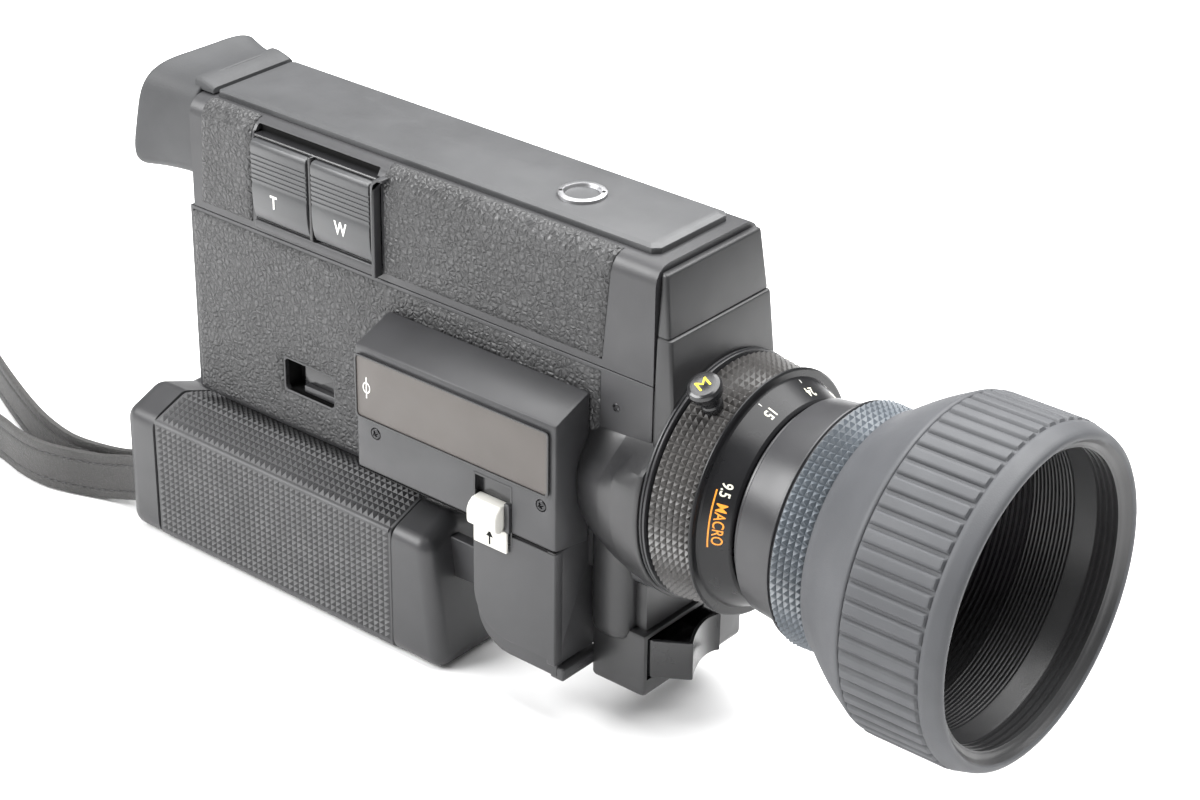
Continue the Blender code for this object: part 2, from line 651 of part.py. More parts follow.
def film_door():
    back, front, low, high = DOOR
    door = box("film_door", (back + 0.4, SHELL_HALF - 1.7, low + 0.4), (front - 0.4, SHELL_HALF + 0.9, high - 0.4), DARK, 0.5)
    window = box("door_window_hole", (-130.0, 10, 76.0), (-118.0, 30, 92.0))
    knuckle_space = box("door_knuckle_space", (front - 4.6, 10, 60.0), (front + 3, 30, 104.0))
    latch_space = box("door_latch_space", (back - 3, 10, 74.0), (back + 9.0, 30, 90.0))
    subtract(door, window, knuckle_space, latch_space)
    box("door_window", (-129.7, SHELL_HALF - 1.2, 76.3), (-118.3, SHELL_HALF + 0.5, 91.7), GLASS)
    knuckle = disc("door_knuckle", 60.4, 103.6, 1.5, (front - 2.4, SHELL_HALF - 0.2, 0), axis=2, steps=16)
    leaf = box("door_leaf", (front - 6.0, SHELL_HALF - 1.2, 60.4), (front - 2.4, SHELL_HALF + 0.4, 103.6))
    unite(door, knuckle, leaf)
    pin_hole = disc("door_pin_hole", 40, 130, 0.8, (front - 2.4, SHELL_HALF - 0.2, 0), axis=2, steps=16)
    subtract(door, pin_hole)
    disc("door_pin", 52.0, 112.0, 0.5, (front - 2.4, SHELL_HALF - 0.2, 0), STEEL, axis=2, steps=12)
    latch = box("door_latch", (back + 0.7, SHELL_HALF - 1.5, 78.0), (back + 8.6, SHELL_HALF + 1.4, 86.0), STEEL, 0.3)
    return latch


def mechanism():
    front = CARTRIDGE_FRONT
    length, thick, tall = CARTRIDGE
    cartridge = box("film_cartridge", (front - length, -7.0, 45.6), (front, -7.0 + thick, 45.6 + tall), YELLOW, 1.5)
    hub = disc("cartridge_hub_hole", -10, -3.0, 6.2, (SPINDLE[0], 0, SPINDLE[1]), axis=1, steps=24)
    subtract(cartridge, hub)
    plate = box("mechanism_plate", (-154.0, -13.4, 46.0), (-81.0, -12.0, 98.0), STEEL)
    spindle_hole = disc("spindle_hole", -20, 0, 3.3, (SPINDLE[0], 0, SPINDLE[1]), axis=1, steps=24)
    subtract(plate, spindle_hole)
    turned(
        "drive_spindle",
        [(-16.4, 0), (-16.4, 9.0), (-14.6, 9.0), (-14.6, 3.0), (-9.6, 3.0), (-9.6, 5.6), (-3.6, 5.6), (-3.6, 0)],
        (SPINDLE[0], 0, SPINDLE[1]), BRASS, axis=1, steps=24,
    )
    gate = box("film_gate", (-79.8, -11.6, 58.0), (-78.6, 14.0, 86.0), STEEL)
    aperture = box("gate_aperture", (-90, -2.9, AXIS_Z - 2.1), (-70, 2.9, AXIS_Z + 2.1))
    subtract(gate, aperture)
    shaft = (0.0, 0.0, 92.0)
    blade = disc("shutter_disc", -76.6, -75.8, 16.6, (0, 0, 92.0), DARK, steps=40)
    sector = prism("shutter_sector", [(0, 92.0), (-14, 60.0), (14, 60.0)], -80, -74, 0)
    shaft_tool = disc("shutter_shaft", -77.4, -62.0, 1.6, shaft, steps=16)
    wheel = disc("shutter_wheel", -68.4, -66.0, 9.0, shaft, steps=24)
    subtract(blade, sector)
    unite(blade, shaft_tool, wheel)
    disc("motor", -60.0, -30.0, 10.0, (0, -1.0, 105.2), STEEL, steps=32, edge=1.0)
    turned(
        "motor_pinion",
        [(-68.2, 0), (-68.2, 3.6), (-66.2, 3.6), (-66.2, 1.0), (-60.4, 1.0), (-60.4, 0)],
        (0, -1.0, 105.2), BRASS, steps=20,
    )
    box("prism_block", (-58.0, -8.0, 62.0), (-44.0, 8.0, 80.0), GLASS, 0.6)
    disc("zoom_motor", -40.0, -12.0, 6.0, (0, 10.0, 122.0), STEEL, steps=24, edge=0.6)
    disc("zoom_pinion", 1.4, 5.6, 3.2, (0, 17.16, AXIS_Z + 17.16), BRASS, steps=20)


CUTTERS = bpy.data.collections.new("Cutters")
PIVOTS = {
    "zoom_ring": (14.4, 0, AXIS_Z),
    "macro_knob": (14.4, 0, AXIS_Z),
    "focus_ring": (48.0, 0, AXIS_Z),
    "key_t": (-122.8, -20.0, 116.0),
    "key_w": (-100.8, -20.0, 116.0),
    "grip_slide": (-38.8, -33.0, 57.0),
    "trigger": (0.0, -14.0, 22.6),
    "grip_shell": (HINGE_X, -25.5, HINGE_Z),
    "film_door": (DOOR[1] - 2.4, SHELL_HALF - 0.2, 82.0),
    "door_latch": (DOOR[0] + 4.6, SHELL_HALF, 82.0),
    "drive_spindle": (SPINDLE[0], -11.5, SPINDLE[1]),
    "shutter_disc": (-67.6, 0, 92.0),
    "motor_pinion": (-67.2, -1.0, 105.2),
    "zoom_pinion": (3.5, 17.16, AXIS_Z + 17.16),
}


def main():
    for obj in list(bpy.data.objects):
        bpy.data.objects.remove(obj)
    bpy.context.scene.collection.children.link(CUTTERS)
    body()
    top_plate()
    leather()
    front_plate()
    zoom_keys()
    side_housing()
    slide()
    arm()
    lens_mount()
    lens()
    front_block()
    grip()
    strap()
    eyecup()
    film_door()
    mechanism()
    for name, point in PIVOTS.items():
        pivot(name, point)
    CUTTERS.hide_render = True


main()
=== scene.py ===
"""A hand-held 8 mm cine camera with its grip folded under the body, on a pale studio floor.

Lengths are millimetres in the drawing's frame, as in the CAD: x from the body's front wall, y from its
middle, z from just under the grip. at() turns them into the frame's metres.
"""

import json
import math

import bmesh
import bpy
from mathutils import Matrix, Vector

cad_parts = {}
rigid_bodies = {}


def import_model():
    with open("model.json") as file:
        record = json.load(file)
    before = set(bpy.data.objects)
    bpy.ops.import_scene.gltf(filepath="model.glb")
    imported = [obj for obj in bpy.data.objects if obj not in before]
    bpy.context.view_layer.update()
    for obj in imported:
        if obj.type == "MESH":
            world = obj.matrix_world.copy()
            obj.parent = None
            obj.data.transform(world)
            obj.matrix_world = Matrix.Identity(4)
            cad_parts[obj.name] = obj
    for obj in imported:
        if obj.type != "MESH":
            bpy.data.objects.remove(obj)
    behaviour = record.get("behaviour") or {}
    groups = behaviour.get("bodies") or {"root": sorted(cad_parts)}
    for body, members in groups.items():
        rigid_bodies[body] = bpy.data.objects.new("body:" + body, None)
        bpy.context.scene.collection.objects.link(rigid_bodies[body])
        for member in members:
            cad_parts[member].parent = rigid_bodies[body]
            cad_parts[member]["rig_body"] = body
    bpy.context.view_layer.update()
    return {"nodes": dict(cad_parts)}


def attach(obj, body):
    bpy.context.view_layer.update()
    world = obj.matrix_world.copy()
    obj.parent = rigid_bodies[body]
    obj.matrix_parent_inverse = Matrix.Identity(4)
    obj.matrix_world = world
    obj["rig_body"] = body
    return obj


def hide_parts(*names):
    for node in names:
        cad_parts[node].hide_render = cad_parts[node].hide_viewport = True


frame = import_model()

MM = 0.001
DATUM = Vector((0.120, 0.0, -0.0006))
AXIS_Z = 71.0
TURN = 2 * math.pi


def at(x, y, z):
    return Vector((x, y, z)) * MM + DATUM


def on_lens(x, radius, angle):
    """A point round the lens. The angle is 0 at the top and grows towards the operator's right."""
    return at(x, -radius * math.sin(angle), AXIS_Z + radius * math.cos(angle))


def smoothstep(low, high, value):
    part = min(max((value - low) / (high - low), 0.0), 1.0)
    return part * part * (3 - 2 * part)


# ---------------------------------------------------------------- materials


def nodes_of(material):
    material.use_nodes = True
    tree = material.node_tree
    shader = tree.nodes["Principled BSDF"]
    coords = tree.nodes.new("ShaderNodeTexCoord").outputs["Object"]
    return tree, shader, coords


def noise(tree, coords, scale, detail=3.0, stretch=None):
    node = tree.nodes.new("ShaderNodeTexNoise")
    node.inputs["Scale"].default_value = scale
    node.inputs["Detail"].default_value = detail
    if stretch:
        mapping = tree.nodes.new("ShaderNodeMapping")
        mapping.inputs["Scale"].default_value = stretch
        tree.links.new(coords, mapping.inputs["Vector"])
        coords = mapping.outputs["Vector"]
    tree.links.new(coords, node.inputs["Vector"])
    return node.outputs["Fac"]


def ranged(tree, value, low, high, from_low=0.25, from_high=0.75):
    node = tree.nodes.new("ShaderNodeMapRange")
    node.inputs["From Min"].default_value = from_low
    node.inputs["From Max"].default_value = from_high
    node.inputs["To Min"].default_value = low
    node.inputs["To Max"].default_value = high
    tree.links.new(value, node.inputs["Value"])
    return node.outputs["Result"]


def mixed(tree, factor, first, second):
    """Two colours mixed by a factor. The first is a colour or another node's output."""
    node = tree.nodes.new("ShaderNodeMix")
    node.data_type = "RGBA"
    if isinstance(first, bpy.types.NodeSocket):
        tree.links.new(first, node.inputs["A"])
    else:
        node.inputs["A"].default_value = (*first, 1.0)
    node.inputs["B"].default_value = (*second, 1.0)
    tree.links.new(factor, node.inputs["Factor"])
    return node.outputs["Result"]


def bumped(tree, shader, height, distance, below=None, strength=1.0):
    node = tree.nodes.new("ShaderNodeBump")
    node.inputs["Distance"].default_value = distance
    node.inputs["Strength"].default_value = strength
    tree.links.new(height, node.inputs["Height"])
    if below:
        tree.links.new(below, node.inputs["Normal"])
    tree.links.new(node.outputs["Normal"], shader.inputs["Normal"])
    return node.outputs["Normal"]


def moulded(name, colour, roughness, grain, grain_scale, blotch=0.14, specular=0.5):
    """A moulded or painted surface: slow blotches of colour, uneven gloss, fine grain and faint dust."""
    material = bpy.data.materials.new(name)
    tree, shader, coords = nodes_of(material)
    dark = [c * (1 - blotch) for c in colour]
    light = [c * (1 + blotch) + 0.002 for c in colour]
    body = mixed(tree, ranged(tree, noise(tree, coords, 55.0), 0, 1), dark, light)
    dust = ranged(tree, noise(tree, coords, 2600.0, 2.0), 0, 1, 0.74, 0.80)
    dusty = mixed(tree, dust, body, [min(c * 1.5 + 0.02, 1) for c in colour])
    tree.links.new(dusty, shader.inputs["Base Color"])
    gloss = ranged(tree, noise(tree, coords, 140.0), roughness - 0.05, roughness + 0.05)
    tree.links.new(gloss, shader.inputs["Roughness"])
    shader.inputs["Specular IOR Level"].default_value = specular
    bumped(tree, shader, noise(tree, coords, grain_scale, 2.0), grain)
    return material


def leather(name, colour, cell, depth, roughness):
    """Pebbled leather: small uneven cells with creases between them, the creases painted darker as shade, and
    a finer grain on top.
    """
    material = bpy.data.materials.new(name)
    tree, shader, coords = nodes_of(material)
    bend = tree.nodes.new("ShaderNodeTexNoise")
    bend.inputs["Scale"].default_value = cell * 0.6
    tree.links.new(coords, bend.inputs["Vector"])
    shift = tree.nodes.new("ShaderNodeVectorMath")
    shift.operation = "MULTIPLY_ADD"
    shift.inputs[1].default_value = (1.1 / cell,) * 3
    tree.links.new(bend.outputs["Color"], shift.inputs[0])
    tree.links.new(coords, shift.inputs[2])
    cells = tree.nodes.new("ShaderNodeTexVoronoi")
    cells.feature = "DISTANCE_TO_EDGE"
    cells.inputs["Scale"].default_value = cell
    tree.links.new(shift.outputs["Vector"], cells.inputs["Vector"])
    pebble = ranged(tree, cells.outputs["Distance"], 0, 1, 0.0, 0.34)
    # Painted shade: the creases between the cells are darkened in the colour.
    body = mixed(tree, pebble, [c * 0.7 for c in colour], colour)
    wear = ranged(tree, noise(tree, coords, 42.0), 0, 0.45)
    worn = mixed(tree, wear, body, [c * 1.5 + 0.004 for c in colour])
    tree.links.new(worn, shader.inputs["Base Color"])
    gloss = ranged(tree, pebble, roughness + 0.12, roughness - 0.04, 0, 1)
    tree.links.new(gloss, shader.inputs["Roughness"])
    wrinkle = bumped(tree, shader, noise(tree, coords, cell * 0.35, 4.0), depth * 1.6, strength=0.8)
    first = bumped(tree, shader, pebble, depth, wrinkle)
    bumped(tree, shader, noise(tree, coords, cell * 4, 2.0), depth * 0.2, first)
    return material


def brushed(name, colour, roughness, stretch=(1.0, 30.0, 30.0)):
    """Bare metal with fine drawn lines and slightly uneven gloss."""
    material = bpy.data.materials.new(name)
    tree, shader, coords = nodes_of(material)
    lines = noise(tree, coords, 700.0, 4.0, stretch)
    body = mixed(tree, ranged(tree, lines, 0, 1), [c * 0.82 for c in colour], colour)
    tree.links.new(body, shader.inputs["Base Color"])
    tree.links.new(ranged(tree, lines, roughness - 0.07, roughness + 0.1), shader.inputs["Roughness"])
    shader.inputs["Metallic"].default_value = 1.0
    bumped(tree, shader, lines, 0.000008)
    return material


def glazed(name, colour, roughness=0.05, coat=0.6):
    """Coated optical glass, seen as a dark shining surface, with faint smears."""
    material = bpy.data.materials.new(name)
    tree, shader, coords = nodes_of(material)
    smear = noise(tree, coords, 90.0, 3.0)
    body = mixed(tree, ranged(tree, smear, 0, 1), colour, [c * 1.4 + 0.002 for c in colour])
    tree.links.new(body, shader.inputs["Base Color"])
    tree.links.new(ranged(tree, smear, roughness, roughness + 0.06), shader.inputs["Roughness"])
    shader.inputs["Coat Weight"].default_value = coat
    shader.inputs["Coat Tint"].default_value = (0.55, 0.45, 1.0, 1.0)
    shader.inputs["Coat Roughness"].default_value = 0.03
    bumped(tree, shader, smear, 0.000002)
    return material


# A moulded look's numbers: colour, roughness, the grain's depth in metres and its scale, the blotches'
# strength and the specular level. A leather's: colour, cells to the metre, their depth, roughness.
LOOKS = {
    "body": moulded("satin_black_body", (0.030, 0.030, 0.032), 0.42, 0.000030, 3400),
    "plate": moulded("satin_black_plate", (0.050, 0.051, 0.053), 0.44, 0.000020, 5200),
    "front": moulded("satin_black_front", (0.022, 0.022, 0.023), 0.38, 0.000016, 5200),
    "lens": moulded("anodised_black", (0.022, 0.022, 0.024), 0.34, 0.000010, 5200, 0.1),
    "casting": moulded("front_casting", (0.017, 0.017, 0.018), 0.36, 0.000024, 3600, 0.12),
    "cone": moulded("cone_black", (0.010, 0.010, 0.011), 0.30, 0.000006, 5200, 0.1, 0.25),
    "gloss": moulded("gloss_black", (0.014, 0.014, 0.015), 0.18, 0.000006, 3000, 0.1),
    # The deep black is the colour of real black parts and is also painted shade in holes, slots and recesses.
    "dark": moulded("deep_black_and_painted_shade", (0.004, 0.004, 0.004), 0.7, 0.00002, 3400, 0.14, 0.15),
    "label": moulded("brown_grey_label", (0.064, 0.055, 0.049), 0.42, 0.000014, 5200, 0.06),
    "hood": moulded("hood_rubber", (0.055, 0.057, 0.062), 0.60, 0.00004, 2600, 0.10),
    # A darker, glossier copy of the hood rubber for its inside: the darker colour is painted shade in the
    # hood's mouth.
    "hood_inside": moulded("hood_inside_rubber_painted_shade", (0.030, 0.030, 0.031), 0.38, 0.00003, 2600, 0.10),
    "cup": moulded("eyecup_rubber", (0.032, 0.033, 0.035), 0.60, 0.00005, 2200, 0.12),
    "grip": moulded("grip_rubber", (0.050, 0.050, 0.052), 0.52, 0.00003, 3000, 0.08),
    "knurl": moulded("knurled_rubber", (0.070, 0.067, 0.065), 0.32, 0.00002, 3000, 0.10),
    "knurl_front": moulded("dusty_knurled_rubber", (0.085, 0.098, 0.112), 0.38, 0.00004, 2400, 0.3),
    "keys": moulded("key_plastic", (0.045, 0.046, 0.048), 0.34, 0.000014, 4200, 0.08),
    "ivory": moulded("ivory_plastic", (0.60, 0.59, 0.55), 0.35, 0.00001, 3000, 0.03),
    "white": moulded("white_paint", (0.86, 0.86, 0.82), 0.5, 0.00001, 3000, 0.03),
    "cream": moulded("cream_paint", (0.72, 0.70, 0.58), 0.5, 0.00001, 3000, 0.05),
    "orange": moulded("orange_paint", (0.85, 0.30, 0.02), 0.5, 0.00001, 3000, 0.05),
    "yellow": moulded("yellow_paint", (0.85, 0.66, 0.03), 0.5, 0.00001, 3000, 0.05),
    "cartridge": moulded("cartridge_plastic", (0.020, 0.020, 0.022), 0.42, 0.00003, 2600, 0.08),
    "cell": moulded("cell_wrap", (0.04, 0.16, 0.08), 0.32, 0.00001, 2600, 0.1),
    "hide": leather("body_leather", (0.040, 0.040, 0.041), 640.0, 0.00034, 0.42),
    "strap": leather("strap_leather", (0.034, 0.033, 0.032), 1500.0, 0.00012, 0.46),
    "steel": brushed("bright_steel", (0.50, 0.50, 0.49), 0.32),
    "chrome": brushed("turned_chrome", (0.50, 0.50, 0.51), 0.34, (30.0, 30.0, 1.0)),
    "brass": brushed("turned_brass", (0.72, 0.52, 0.22), 0.3),
    "screw": brushed("blackened_steel", (0.06, 0.06, 0.062), 0.32),
    "glass": glazed("coated_glass", (0.010, 0.008, 0.020)),
    "window": glazed("smoked_window", (0.012, 0.012, 0.014), 0.08, 0.2),
}


# ---------------------------------------------------------------- making pieces


def make(name, points, faces, look, body="camera_body", node=None, sharp=34, tops=None):
    """A piece from points in metres and faces. tops is a second look and the faces that take it."""
    mesh = bpy.data.meshes.new(name)
    mesh.from_pydata([tuple(point) for point in points], [], faces)
    mesh.materials.append(LOOKS[look])
    if tops:
        mesh.materials.append(LOOKS[tops[0]])
        for index in tops[1]:
            mesh.polygons[index].material_index = 1
    close_up(mesh)
    return place(name, mesh, body, node, sharp)


def close_up(mesh):
    """Joins points that coincide and turns every face outwards."""
    shape = bmesh.new()
    shape.from_mesh(mesh)
    bmesh.ops.remove_doubles(shape, verts=shape.verts, dist=1e-7)
    bmesh.ops.recalc_face_normals(shape, faces=shape.faces)
    shape.to_mesh(mesh)
    shape.free()


def place(name, mesh, body, node=None, sharp=34):
    mesh.shade_smooth()
    mesh.set_sharp_from_angle(angle=math.radians(sharp))
    obj = bpy.data.objects.new(name, mesh)
    bpy.context.scene.collection.objects.link(obj)
    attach(obj, body)
    if node:
        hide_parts(*([node] if isinstance(node, str) else node))
    return obj


def bevelled(obj, width, segments=3, angle=32):
    modifier = obj.modifiers.new("Edges", "BEVEL")
    modifier.width = width * MM
    modifier.segments = segments
    modifier.limit_method = "ANGLE"
    modifier.angle_limit = math.radians(angle)
    modifier.harden_normals = True
    modifier.use_clamp_overlap = True
    return obj


def refined(node, look, width):
    """The CAD node's own shape, with its flat faces merged and its edges rounded."""
    shape = bmesh.new()
    shape.from_mesh(frame["nodes"][node].data)
    bmesh.ops.remove_doubles(shape, verts=shape.verts, dist=2e-6)
    flat = math.radians(0.6)
    bmesh.ops.dissolve_limit(shape, angle_limit=flat, verts=shape.verts, edges=shape.edges)
    mesh = bpy.data.meshes.new(node + "_finished")
    shape.to_mesh(mesh)
    shape.free()
    if "custom_normal" in mesh.attributes:
        mesh.attributes.remove(mesh.attributes["custom_normal"])
    mesh.materials.clear()
    mesh.materials.append(LOOKS[look])
    bevelled(place(node + "_finished", mesh, frame["nodes"][node]["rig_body"], node), width)


def strip(rows, closed_rows=False):
    """Points and faces that join rows of equal length; every row is a closed ring."""
    points = [point for row in rows for point in row]
    count = len(rows[0])
    faces = []
    last = len(rows) if closed_rows else len(rows) - 1
    for i in range(last):
        k = (i + 1) % len(rows)
        for j in range(count):
            n = (j + 1) % count
            faces.append((i * count + j, i * count + n, k * count + n, k * count + j))
    return points, faces


def capped(rows):
    points, faces = strip(rows)
    count = len(rows[0])
    faces.append(tuple(range(count))[::-1])
    faces.append(tuple((len(rows) - 1) * count + j for j in range(count)))
    return points, faces


def circle(centre, radius, count, start=0.0):
    """Points round a circle, as pairs. The start is an angle in radians."""
    turns = [TURN * k / count + start for k in range(count)]
    return [(centre[0] + radius * math.cos(turn), centre[1] + radius * math.sin(turn)) for turn in turns]


def arc(centre, radius, start, end, count):
    """Points along an arc, as pairs, between two angles in degrees."""
    points = []
    for step in range(count + 1):
        angle = math.radians(start + (end - start) * step / count)
        points.append((centre[0] + radius * math.cos(angle), centre[1] + radius * math.sin(angle)))
    return points


def twice_area(outline):
    """Above 0 for an outline that runs anticlockwise."""
    return sum(a[0] * b[1] - b[0] * a[1] for a, b in zip(outline, outline[1:] + outline[:1]))


def filleted(outline, radius, steps=3):
    """A closed outline of 2D points with its corners rounded."""
    result = []
    count = len(outline)
    for i in range(count):
        before, corner, after = (Vector(outline[(i + k) % count]) for k in (-1, 0, 1))
        a, b = before - corner, after - corner
        if a.length < 1e-6 or b.length < 1e-6:
            continue
        bend = a.angle(b)
        if bend > math.radians(176):
            result.append(tuple(corner))
            continue
        cut = min(radius / math.tan(bend / 2), 0.45 * a.length, 0.45 * b.length)
        start, end = corner + a.normalized() * cut, corner + b.normalized() * cut
        for step in range(steps + 1):
            t = step / steps
            result.append(tuple(start * (1 - t) ** 2 + corner * 2 * t * (1 - t) + end * t * t))
    return result


def inward(outline, inset):
    """A closed outline of 2D points moved in by this much all round."""
    side = math.copysign(1.0, twice_area(outline))
    result = []
    for i in range(len(outline)):
        before, corner, after = (Vector(outline[(i + k) % len(outline)]) for k in (-1, 0, 1))
        a, b = (corner - before).normalized(), (after - corner).normalized()
        a, b = Vector((-a.y, a.x)) * side, Vector((-b.y, b.x)) * side
        result.append(tuple(corner + (a + b) / (1 + a.dot(b)) * inset))
    return result


def lathe(name, profile, look, body, node, steps, fillet):
    """A ring turned round the lens axis from a closed outline of (x, radius) points."""
    rows = []
    for x, radius in filleted(profile, fillet):
        rows.append([on_lens(x, radius, TURN * j / steps) for j in range(steps)])
    make(name, *strip(rows, True), look, body, node, 40)


def prism(
    name, outline, low, high, axis, look, body="camera_body", node=None, corner=0.6, edge=0.3, sharp=34
):
    """A flat shape with rounded corners and edges. The outline holds the other two axes in order."""
    outline = filleted(outline, corner) if corner else list(outline)
    side = 1 if twice_area(outline) > 0 else -1
    steps = 3 if edge else 0
    levels = []
    for step in range(steps + 1):
        turn = math.pi / 2 * step / max(steps, 1)
        levels.append((low + edge * (1 - math.cos(turn)), edge * (1 - math.sin(turn))))
    levels += [(low + high - level, inset) for level, inset in reversed(levels)]
    count = len(outline)
    rows = []
    for level, inset in levels:
        row = []
        for i in range(count):
            before, here, after = (Vector(outline[(i + k) % count]) for k in (-1, 0, 1))
            along = (after - before).normalized()
            flat = here + Vector((-along.y, along.x)) * side * inset
            coords = [flat.x, flat.y]
            coords.insert(axis, level)
            row.append(at(*coords))
        rows.append(row)
    return make(name, *capped(rows), look, body, node, sharp)


def box_of(low, high):
    return [(low[0], low[1]), (high[0], low[1]), (high[0], high[1]), (low[0], high[1])]


def slab(name, low, high, axis, look, body="camera_body", node=None, corner=0.6, edge=0.3):
    """A box between two corners, as a prism along the axis."""
    others = [i for i in range(3) if i != axis]
    outline = box_of([low[i] for i in others], [high[i] for i in others])
    return prism(name, outline, low[axis], high[axis], axis, look, body, node, corner, edge)


def lettering(name, text, size, look, body, spot, depth=0.06, bold=0.0, squeeze=1.0):
    """Raised characters. spot(u, v, height) puts a point of the flat text in its place, in metres."""
    curve = bpy.data.curves.new(name, "FONT")
    curve.body = text
    curve.size = size
    curve.align_x = "CENTER"
    curve.align_y = "CENTER"
    curve.extrude = depth / 2
    curve.offset = bold
    holder = bpy.data.objects.new(name + "_guide", curve)
    bpy.context.scene.collection.objects.link(holder)
    bpy.context.view_layer.update()
    mesh = bpy.data.meshes.new_from_object(holder.evaluated_get(bpy.context.evaluated_depsgraph_get()))
    bpy.data.objects.remove(holder)
    mesh.name = name
    for vert in mesh.vertices:
        vert.co = spot(vert.co.x * squeeze, vert.co.y, vert.co.z + depth / 2)
    mesh.materials.clear()
    mesh.materials.append(LOOKS[look])
    close_up(mesh)
    return place(name, mesh, body)


def studs(rows_count, columns_count, height, spot, top, wrap=True):
    """Truncated pyramids on a grid. spot(i, j, height) gives a point; i runs along and j round."""
    points, faces, index = [], [], {}

    def corner(i, j):
        j = j % columns_count if wrap else j
        if (i, j) not in index:
            index[i, j] = len(points)
            points.append(spot(i, j, 0.0))
        return index[i, j]

    for i in range(rows_count):
        for j in range(columns_count):
            low = [corner(i, j), corner(i, j + 1), corner(i + 1, j + 1), corner(i + 1, j)]
            first = len(points)
            near, far = 0.5 - top / 2, 0.5 + top / 2
            for a, b in ((near, near), (near, far), (far, far), (far, near)):
                points.append(spot(i + a, j + b, height))
            high = [first, first + 1, first + 2, first + 3]
            faces.append(tuple(high))
            for k in range(4):
                n = (k + 1) % 4
                faces.append((low[k], low[n], high[n], high[k]))
    return points, faces


# ---------------------------------------------------------------- camera, lights and floor

RIGHT = Vector((0.7672, 0.6413, 0.0131))
UP = Vector((-0.3116, 0.3548, 0.8815))
BACK = Vector((0.5607, -0.6803, 0.4721))
CAMERA_PLACE = Vector((0.4991, -0.4996, 0.4234))
FOCAL_LENGTH = 87.46
FLOOR_REACH = 1.1
FLOOR_DROP = 0.0003
LIT_POINT = Vector((0.06, 0.0, 0.06))
LIGHTS = (
    ("key_softbox", (-0.60, -0.80, 0.80), 0.7, 23.0),
    ("top_softbox", (0.10, 0.42, 1.25), 1.7, 74.0),
)
ROOM_GLOW = 0.28
ROOM_SEEN = 0.74


def aim_camera():
    lens = bpy.data.cameras.new("camera")
    lens.lens = FOCAL_LENGTH
    lens.sensor_width = 36.0
    lens.clip_start = 0.01
    eye = bpy.data.objects.new("camera", lens)
    turn = Matrix((RIGHT, UP, BACK)).transposed().to_quaternion()
    eye.matrix_world = Matrix.LocRotScale(CAMERA_PLACE, turn, None)
    bpy.context.scene.collection.objects.link(eye)
    bpy.context.scene.camera = eye


def lay_floor():
    mesh = bpy.data.meshes.new("floor")
    corners = [(x * FLOOR_REACH, y * FLOOR_REACH, 0) for x, y in ((-1, -1), (1, -1), (1, 1), (-1, 1))]
    mesh.from_pydata(corners, [], [(0, 1, 2, 3)])
    mesh.transform(Matrix.Translation((0, 0, -FLOOR_DROP)))
    paper = bpy.data.materials.new("pale_paper")
    tree, shader, coords = nodes_of(paper)
    shade = mixed(tree, ranged(tree, noise(tree, coords, 3.0), 0, 1), (0.90, 0.90, 0.90), (0.93, 0.93, 0.93))
    tree.links.new(shade, shader.inputs["Base Color"])
    shader.inputs["Roughness"].default_value = 0.9
    shader.inputs["Specular IOR Level"].default_value = 0.1
    mesh.materials.append(paper)
    floor = bpy.data.objects.new("floor", mesh)
    bpy.context.scene.collection.objects.link(floor)


def hang_lights():
    for name, place_at, size, power in LIGHTS:
        lamp = bpy.data.lights.new(name, "AREA")
        lamp.shape = "SQUARE"
        lamp.size = size
        lamp.energy = power
        holder = bpy.data.objects.new(name, lamp)
        spot = Vector(place_at)
        holder.matrix_world = Matrix.LocRotScale(spot, (spot - LIT_POINT).to_track_quat("Z", "Y"), None)
        bpy.context.scene.collection.objects.link(holder)


def light_room():
    """A dim white room, which looks brighter to the camera than it lights the scene."""
    world = bpy.data.worlds.new("room")
    world.use_nodes = True
    tree = world.node_tree
    room = tree.nodes["Background"]
    room.inputs["Color"].default_value = (1.0, 1.0, 1.0, 1.0)
    seen = tree.nodes.new("ShaderNodeLightPath")
    level = tree.nodes.new("ShaderNodeMath")
    level.operation = "MULTIPLY_ADD"
    tree.links.new(seen.outputs["Is Camera Ray"], level.inputs[0])
    level.inputs[1].default_value = ROOM_SEEN
    level.inputs[2].default_value = ROOM_GLOW
    tree.links.new(level.outputs["Value"], room.inputs["Strength"])
    bpy.context.scene.world = world
    bpy.context.scene.view_settings.view_transform = "Standard"


aim_camera()
lay_floor()
hang_lights()
light_room()


# ---------------------------------------------------------------- wrist strap

STRAP_WIDTH = 14.4
STRAP_THICK = 2.0
SEAM = 4.25
STITCH_PITCH = 2.6
STITCH = ((-0.95, 0.01), (-0.8, 0.16), (-0.3, 0.22), (0.3, 0.22), (0.8, 0.16), (0.95, 0.01))
STRAP_ROUTE = [
    (-170.0, -28.5, 13.1), (-176.0, -28.4, 12.6), (-183.2, -28.2, 10.4),
    (-193.0, -30.2, 8.2), (-204.0, -34.2, 8.1),
    (-212.0, -36.0, 8.1), (-221.5, -35.8, 8.1), (-233.3, -33.6, 8.1),
    (-254.0, -31.8, 8.1), (-276.0, -31.6, 8.1),
    (-296.0, -31.8, 8.1), (-316.0, -29.6, 8.1), (-332.0, -22.6, 8.1), (-340.6, -9.0, 8.1), (-338.4, 6.0, 8.1),
    (-327.0, 15.4, 8.1), (-311.0, 15.0, 8.1), (-295.0, 7.6, 8.1), (-280.0, -0.6, 8.1), (-262.8, -9.0, 8.1),
    (-243.6, -17.2, 8.1), (-227.5, -23.2, 8.1), (-215.0, -26.4, 8.1),
    (-204.8, -27.2, 8.1), (-193.0, -25.0, 8.3),
    (-183.2, -24.2, 10.4), (-176.0, -24.2, 12.6), (-170.0, -24.1, 13.1),
]


